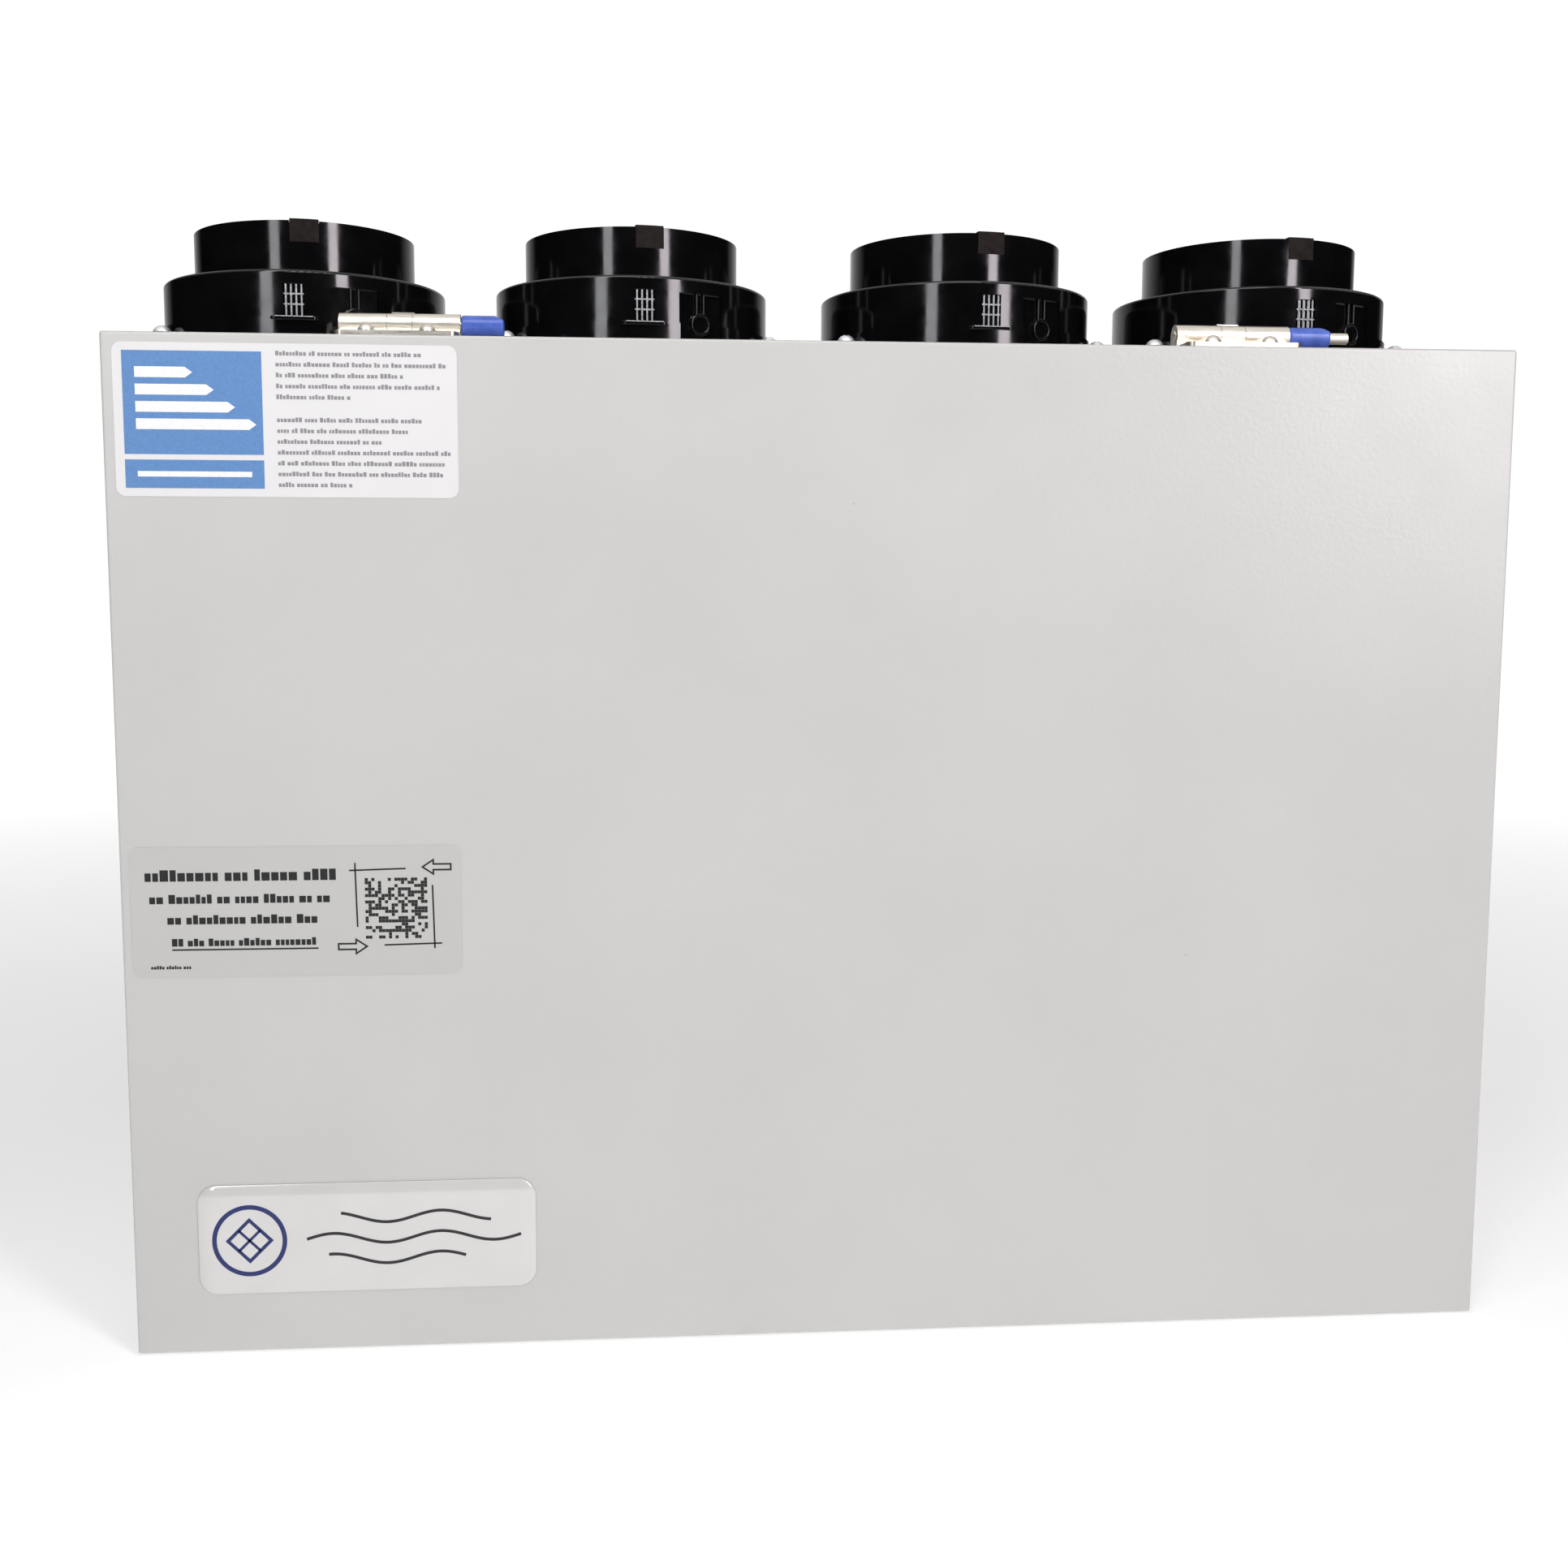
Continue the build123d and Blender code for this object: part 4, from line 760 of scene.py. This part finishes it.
def add_badge_print(low, high):
    """Ring with a plate exchanger's symbol, and three waves of air."""
    def surface(x, z):
        return FACE_Y - dome_rise(min(x - low.x, high.x - x, z - low.z, high.z - z))

    mark = Stencil(surface)
    x, z = spot(low, high, RING_ACROSS, 0.5)
    turns = [FULL_TURN * i / RING_STEPS for i in range(RING_STEPS)]
    ring = [(x + RING_RADIUS * math.cos(t), z + RING_RADIUS * math.sin(t)) for t in turns]
    mark.line(ring, RING_LINE, closed=True)
    half, quarter = DIAMOND_HALF, DIAMOND_HALF / 2
    mark.line([(x + half, z), (x, z + half), (x - half, z), (x, z - half)], DIAMOND_LINE, closed=True)
    mark.line([(x - quarter, z - quarter), (x + quarter, z + quarter)], PLATE_LINE)
    mark.line([(x - quarter, z + quarter), (x + quarter, z - quarter)], PLATE_LINE)
    mark.piece("badge_print_blue", print_ink("badge_blue", (0.006, 0.018, 0.13), 0.15))

    waves = Stencil(surface)
    start, end = spot(low, high, WAVES_START, 0)[0], spot(low, high, WAVES_END, 0)[0]
    for row, (first, last) in enumerate(WAVE_SPANS):
        level = spot(low, high, 0, FIRST_WAVE - WAVE_PITCH * row)[1]
        points = []
        for i in range(WAVE_STEPS + 1):
            along = first + (last - first) * i / WAVE_STEPS
            swing = WAVE_SWING * math.sin(2 * FULL_TURN * along)
            points.append((start + along * (end - start), level + swing))
        waves.line(points, WAVE_LINE)
    waves.piece("badge_print_black", print_ink("badge_black", (0.01, 0.01, 0.011), 0.15))


# ---------------------------------------------------------------- grips' painted highlights
SKIRT_RADIUS = 63.4 * MM
GRIP_ANGLES = (4.5, 124.5, -115.5)
STOP_RISE = 12.2 * MM
GRIP_TOP = 26.2 * MM
RIB_X = [x * MM for x in (-3.3, -1.1, 1.1, 3.3)]
CROSS_RISES = [z * MM for z in (17.4, 21.8)]
RIB_RADIUS, RIB_SUNK, RIB_SHORT = 0.42 * MM, 0.35 * MM, 0.2 * MM
CROSS_HALF, CROSS_RADIUS, CROSS_SUNK = 4.3 * MM, 0.4 * MM, 0.5 * MM
LEDGE_REACH = 2.2 * MM
LIP_HALF, LIP_RADIUS, LIP_SUNK, LIP_DROP = 8.3 * MM, 0.36 * MM, 0.35 * MM, 0.28 * MM
BAR_SIDES = 10
BAR_ENDS = ((0.0, 0.35), (0.35, 0.8), (0.8, 1.0))  # inset and size, as shares of the radius


def add_bar(built, start, end, radius, turned):
    """Round bar with rounded ends between two points of a grip's own frame."""
    start, end = Vector(start), Vector(end)
    ahead = (end - start).normalized()
    side = ahead.orthogonal().normalized()
    other = ahead.cross(side)
    rings = [(start + ahead * inset * radius, share * radius) for inset, share in BAR_ENDS]
    rings += [(end - ahead * inset * radius, share * radius) for inset, share in reversed(BAR_ENDS)]
    rows = []
    for centre, size in rings:
        row = []
        for i in range(BAR_SIDES):
            turn = FULL_TURN * i / BAR_SIDES
            point = centre + (side * math.cos(turn) + other * math.sin(turn)) * size
            row.append(built.verts.new(turned @ point))
        rows.append(row)
    for one, two in zip(rows, rows[1:]):
        for i in range(BAR_SIDES):
            j = (i + 1) % BAR_SIDES
            built.faces.new((one[i], one[j], two[j], two[i]))
    built.faces.new(rows[0])
    built.faces.new(rows[-1])


def port_centres():
    """Centre of each duct path on top of the cabinet, from the record."""
    places = []
    for opening in frame["record"]["physics"]["openings"]:
        if opening["name"].endswith("_air_duct_path"):
            low, high = opening["box_m"]
            places.append(((low[0] + high[0]) / 2, (low[1] + high[1]) / 2))
    return places


def add_grip_painted_highlights():
    """Crests of the grips' ribs and the lips of the duct stops, painted pale as a highlight."""
    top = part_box("top_panel")[1].z
    built = bmesh.new()
    for x, y in port_centres():
        for angle in GRIP_ANGLES:
            turned = Matrix.Translation((x, y, top)) @ Matrix.Rotation(math.radians(angle), 4, "Z")
            for across in RIB_X:
                face = -math.sqrt(SKIRT_RADIUS ** 2 - across ** 2) + RIB_SUNK
                foot, crest = STOP_RISE + RIB_SHORT, GRIP_TOP - RIB_SHORT
                add_bar(built, (across, face, foot), (across, face, crest), RIB_RADIUS, turned)
            for level in CROSS_RISES:
                face = -SKIRT_RADIUS + CROSS_SUNK
                add_bar(built, (-CROSS_HALF, face, level), (CROSS_HALF, face, level), CROSS_RADIUS, turned)
            lip, level = -SKIRT_RADIUS - LEDGE_REACH + LIP_SUNK, STOP_RISE - LIP_DROP
            add_bar(built, (-LIP_HALF, lip, level), (LIP_HALF, lip, level), LIP_RADIUS, turned)
    bmesh.ops.recalc_face_normals(built, faces=built.faces)
    # the pale bars are a painted highlight laid on the ribs and lips
    add_piece("collar_grip_painted_highlights", built, painted_highlight_plastic(), "cabinet", smooth=True)


# ---------------------------------------------------------------- core strap and filters
STRAP_THICK = 1.2 * MM
STRAP_BEHIND = 1.6 * MM
STRAP_BOW = 2.6 * MM
STRAP_FLAT = 15 * MM
STRAP_CROWN = 0.25 * MM
STRAP_STEPS, STRAP_ACROSS = 48, 8
RIVET_INSET, RIVET_SINK = 8 * MM, 0.2 * MM
RIVET_PROFILE = ((4.0, 0.0), (4.0, 0.5), (3.4, 1.1), (1.8, 1.4), (1.4, 1.0), (0.0, 0.9))
LATHE_STEPS = 28
SEAM_LENGTH, SEAM_INSET, SEAM_EDGE = 13 * MM, 1.5 * MM, 2.5 * MM
STITCH_PITCH, STITCH_RISE = 2.6 * MM, 0.3 * MM
STITCH_HALF, STITCH_RADIUS = 0.95 * MM, 0.28 * MM
STITCH_SHAPE = ((-1.0, 0.35), (-0.6, 0.9), (0.0, 1.0), (0.6, 0.9), (1.0, 0.35))


def add_core_strap():
    """Strap bowed a little off the plate, riveted and stitched at each end."""
    low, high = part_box("core_strap")
    face = low.y + STRAP_BEHIND
    add_strap_web(low, high, face)
    add_strap_rivets(low, high, face)
    add_strap_stitches(low, high, face)


def add_strap_web(low, high, face):
    """The webbing itself, flat at both ends."""
    built = bmesh.new()
    bowed = high.x - low.x - 2 * STRAP_FLAT
    rows = []
    for i in range(STRAP_STEPS + 1):
        x = low.x + (high.x - low.x) * i / STRAP_STEPS
        inner = max(0.0, min((x - low.x - STRAP_FLAT) / bowed, 1.0))
        plane = face - STRAP_BOW * math.sin(math.pi * inner) ** 2
        row = []
        for j in range(STRAP_ACROSS + 1):
            z = low.z + (high.z - low.z) * j / STRAP_ACROSS
            crown = STRAP_CROWN * math.cos(math.pi * (j / STRAP_ACROSS - 0.5))
            front = built.verts.new((x, plane - crown, z))
            row.append((front, built.verts.new((x, plane + STRAP_THICK, z))))
        rows.append(row)
    for one, two in zip(rows, rows[1:]):
        for j in range(STRAP_ACROSS):
            for side in (0, 1):
                built.faces.new((one[j][side], one[j + 1][side], two[j + 1][side], two[j][side]))
        for j in (0, STRAP_ACROSS):
            built.faces.new((one[j][0], one[j][1], two[j][1], two[j][0]))
    for row in (rows[0], rows[-1]):
        for one, two in zip(row, row[1:]):
            built.faces.new((one[0], one[1], two[1], two[0]))
    bmesh.ops.recalc_face_normals(built, faces=built.faces)
    strap = add_piece("core_pull_strap", built, webbing(), "cabinet", smooth=True)
    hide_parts("core_strap")


def add_strap_rivets(low, high, face):
    """A domed rivet near each end."""
    middle = (low.z + high.z) / 2
    heads = bmesh.new()
    for x in (low.x + RIVET_INSET, high.x - RIVET_INSET):
        add_lathe(heads, (x, face - RIVET_SINK, middle), RIVET_PROFILE)
    bmesh.ops.recalc_face_normals(heads, faces=heads.faces)
    add_piece("core_strap_rivets", heads, zinc("rivet_zinc"), "cabinet", smooth=True)


def add_strap_stitches(low, high, face):
    """A stitched box around each rivet."""
    thread = bmesh.new()
    for x0 in (low.x + SEAM_INSET, high.x - SEAM_INSET - SEAM_LENGTH):
        x1 = x0 + SEAM_LENGTH
        z0, z1 = low.z + SEAM_EDGE, high.z - SEAM_EDGE
        corners = ((x0, z0), (x1, z0), (x1, z1), (x0, z1), (x0, z0))
        for (ax, az), (bx, bz) in zip(corners, corners[1:]):
            count = max(2, round(math.hypot(bx - ax, bz - az) / STITCH_PITCH))
            for i in range(count):
                t = (i + 0.5) / count
                place = (ax + t * (bx - ax), face - STITCH_RISE, az + t * (bz - az))
                add_stitch(thread, place, level=bx != ax)
    bmesh.ops.recalc_face_normals(thread, faces=thread.faces)
    ink = print_ink("thread", (0.3, 0.3, 0.3), 0.6)
    add_piece("core_strap_stitches", thread, ink, "cabinet", smooth=True)


def add_lathe(built, centre, profile):
    """Solid of revolution that faces the front; profile is (radius, rise) in millimetres."""
    x, y, z = centre
    turns = [FULL_TURN * i / LATHE_STEPS for i in range(LATHE_STEPS)]
    rings = []
    for radius, rise in profile:
        level = y - rise * MM
        if radius == 0.0:
            rings.append([built.verts.new((x, level, z))])
            continue
        size = radius * MM
        circle = [(x + size * math.cos(t), level, z + size * math.sin(t)) for t in turns]
        rings.append([built.verts.new(point) for point in circle])
    for one, two in zip(rings, rings[1:]):
        for i in range(LATHE_STEPS):
            j = (i + 1) % LATHE_STEPS
            if len(two) == 1:
                built.faces.new((one[i], one[j], two[0]))
            else:
                built.faces.new((one[i], one[j], two[j], two[i]))
    built.faces.new(rings[0])


def add_stitch(built, centre, level):
    """One rounded thread stitch, lying along X if level, else along Z."""
    x, y, z = centre
    sides = 6
    rings = []
    for share, size in STITCH_SHAPE:
        along = share * STITCH_HALF
        ring = []
        for side in range(sides):
            turn = FULL_TURN * side / sides
            a, b = size * STITCH_RADIUS * math.cos(turn), size * STITCH_RADIUS * math.sin(turn)
            point = (x + along, y - a, z + b) if level else (x + b, y - a, z + along)
            ring.append(built.verts.new(point))
        rings.append(ring)
    for one, two in zip(rings, rings[1:]):
        for i in range(sides):
            j = (i + 1) % sides
            built.faces.new((one[i], one[j], two[j], two[i]))
    built.faces.new(rings[0])
    built.faces.new(rings[-1])


MEDIA_THICK = 8 * MM
MEDIA_SHEET = 0.9 * MM
PLEATS, STEPS_TO_A_PLEAT = 14, 12
PLEAT_SHARPNESS = 0.96


def pleat(turn):
    """Height of the folds, from -1 to 1: a wave with almost straight flanks."""
    return math.asin(PLEAT_SHARPNESS * math.cos(turn)) / math.asin(PLEAT_SHARPNESS)


def add_filters():
    """Pleated media in each filter frame, turned 45 degrees like its frame."""
    low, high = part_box("filter_media")
    centre_x, centre_z = (low.x + high.x) / 2, (low.z + high.z) / 2
    long = (high.x - low.x) * math.sqrt(2) - MEDIA_THICK
    up = (high.z - low.z) / 2 - (long + MEDIA_THICK) / 2 / math.sqrt(2)
    steps = PLEATS * STEPS_TO_A_PLEAT
    built = bmesh.new()
    for side in (1, -1):
        turn = math.radians(45 * side)
        rows = []
        for i in range(steps + 1):
            along = -long / 2 + long * i / steps
            depth = (MEDIA_THICK / 2 - MEDIA_SHEET) * pleat(FULL_TURN * i / STEPS_TO_A_PLEAT)
            row = []
            for across in (depth + MEDIA_SHEET / 2, depth - MEDIA_SHEET / 2):
                x = centre_x + across * math.cos(turn) + along * math.sin(turn)
                z = centre_z + side * up - across * math.sin(turn) + along * math.cos(turn)
                row += [built.verts.new((x, low.y, z)), built.verts.new((x, high.y, z))]
            rows.append(row)
        for one, two in zip(rows, rows[1:]):
            for a, b in ((0, 1), (1, 3), (3, 2), (2, 0)):
                built.faces.new((one[a], one[b], two[b], two[a]))
        for row in (rows[0], rows[-1]):
            built.faces.new((row[0], row[1], row[3], row[2]))
    bmesh.ops.recalc_face_normals(built, faces=built.faces)
    cloth = filter_cloth()
    media = add_piece("pleated_filter_media", built, cloth, "cabinet", smooth=True)
    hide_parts("filter_media")


# ---------------------------------------------------------------- CAD nodes
def dress_cad_nodes():
    """Gives each CAD node its finish."""
    looks = {
        powder_coat(): ["cabinet_bottom", "cabinet_side_left", "cabinet_side_right", "top_panel",
                        "door_skin", "service_plate"],
        galvanised(): ["back_panel", "rear_hanger", "wall_bracket", "control_tray"],
        bead_foam(): ["insulation_top", "insulation_bottom", "insulation_back", "insulation_left",
                      "insulation_right", "partition_left", "partition_right", "core_partitions",
                      "door_insulation"],
        collar_plastic(): ["outdoor_air_port", "stale_air_port", "fresh_air_port", "exhaust_air_port"],
        clip_plastic(): ["port_clips"],
        zinc(): ["port_screws", "service_screws"],
        nickel(): ["hinge_leaves_front", "hinge_leaves_rear", "door_rivets", "cabinet_rivets",
                   "hinge_pin_left", "hinge_pin_right"],
        blue_vinyl(): ["pin_grip_left", "pin_grip_right"],
        rubber("seal_rubber", (0.035, 0.035, 0.037)): ["door_gasket", "cord_gland", "wall_bumpers"],
        label_film(): ["efficiency_label"],
        label_film("label_grey", (0.5, 0.503, 0.482)): ["info_label"],
        core_sheet(): ["heat_core"],
        mill_aluminium(): ["core_frame", "fan_motors"],
        filter_card(): ["filter_frames"],
        moulded("moulded_grey", (0.3, 0.31, 0.32)): [
            "drain_pan", "drain_sockets", "damper_frame", "defrost_flap"],
        moulded("moulded_black", (0.018, 0.018, 0.02), 0.36): [
            "supply_fan_housing", "exhaust_fan_housing", "fan_inlet_rings", "supply_impeller",
            "exhaust_impeller", "damper_motor", "terminal_block", "speed_button"],
        board_green(): ["circuit_board"],
        lens_green(): ["led_lens"],
    }
    for material, names in looks.items():
        for name in names:
            mesh = frame["nodes"][name].data
            mesh.materials.clear()
            mesh.materials.append(material)


bpy.context.scene.view_settings.view_transform = "Standard"
add_camera()
add_studio()
dress_cad_nodes()
add_efficiency_print()
add_info_print()
add_badge()
add_grip_painted_highlights()
add_core_strap()
add_filters()
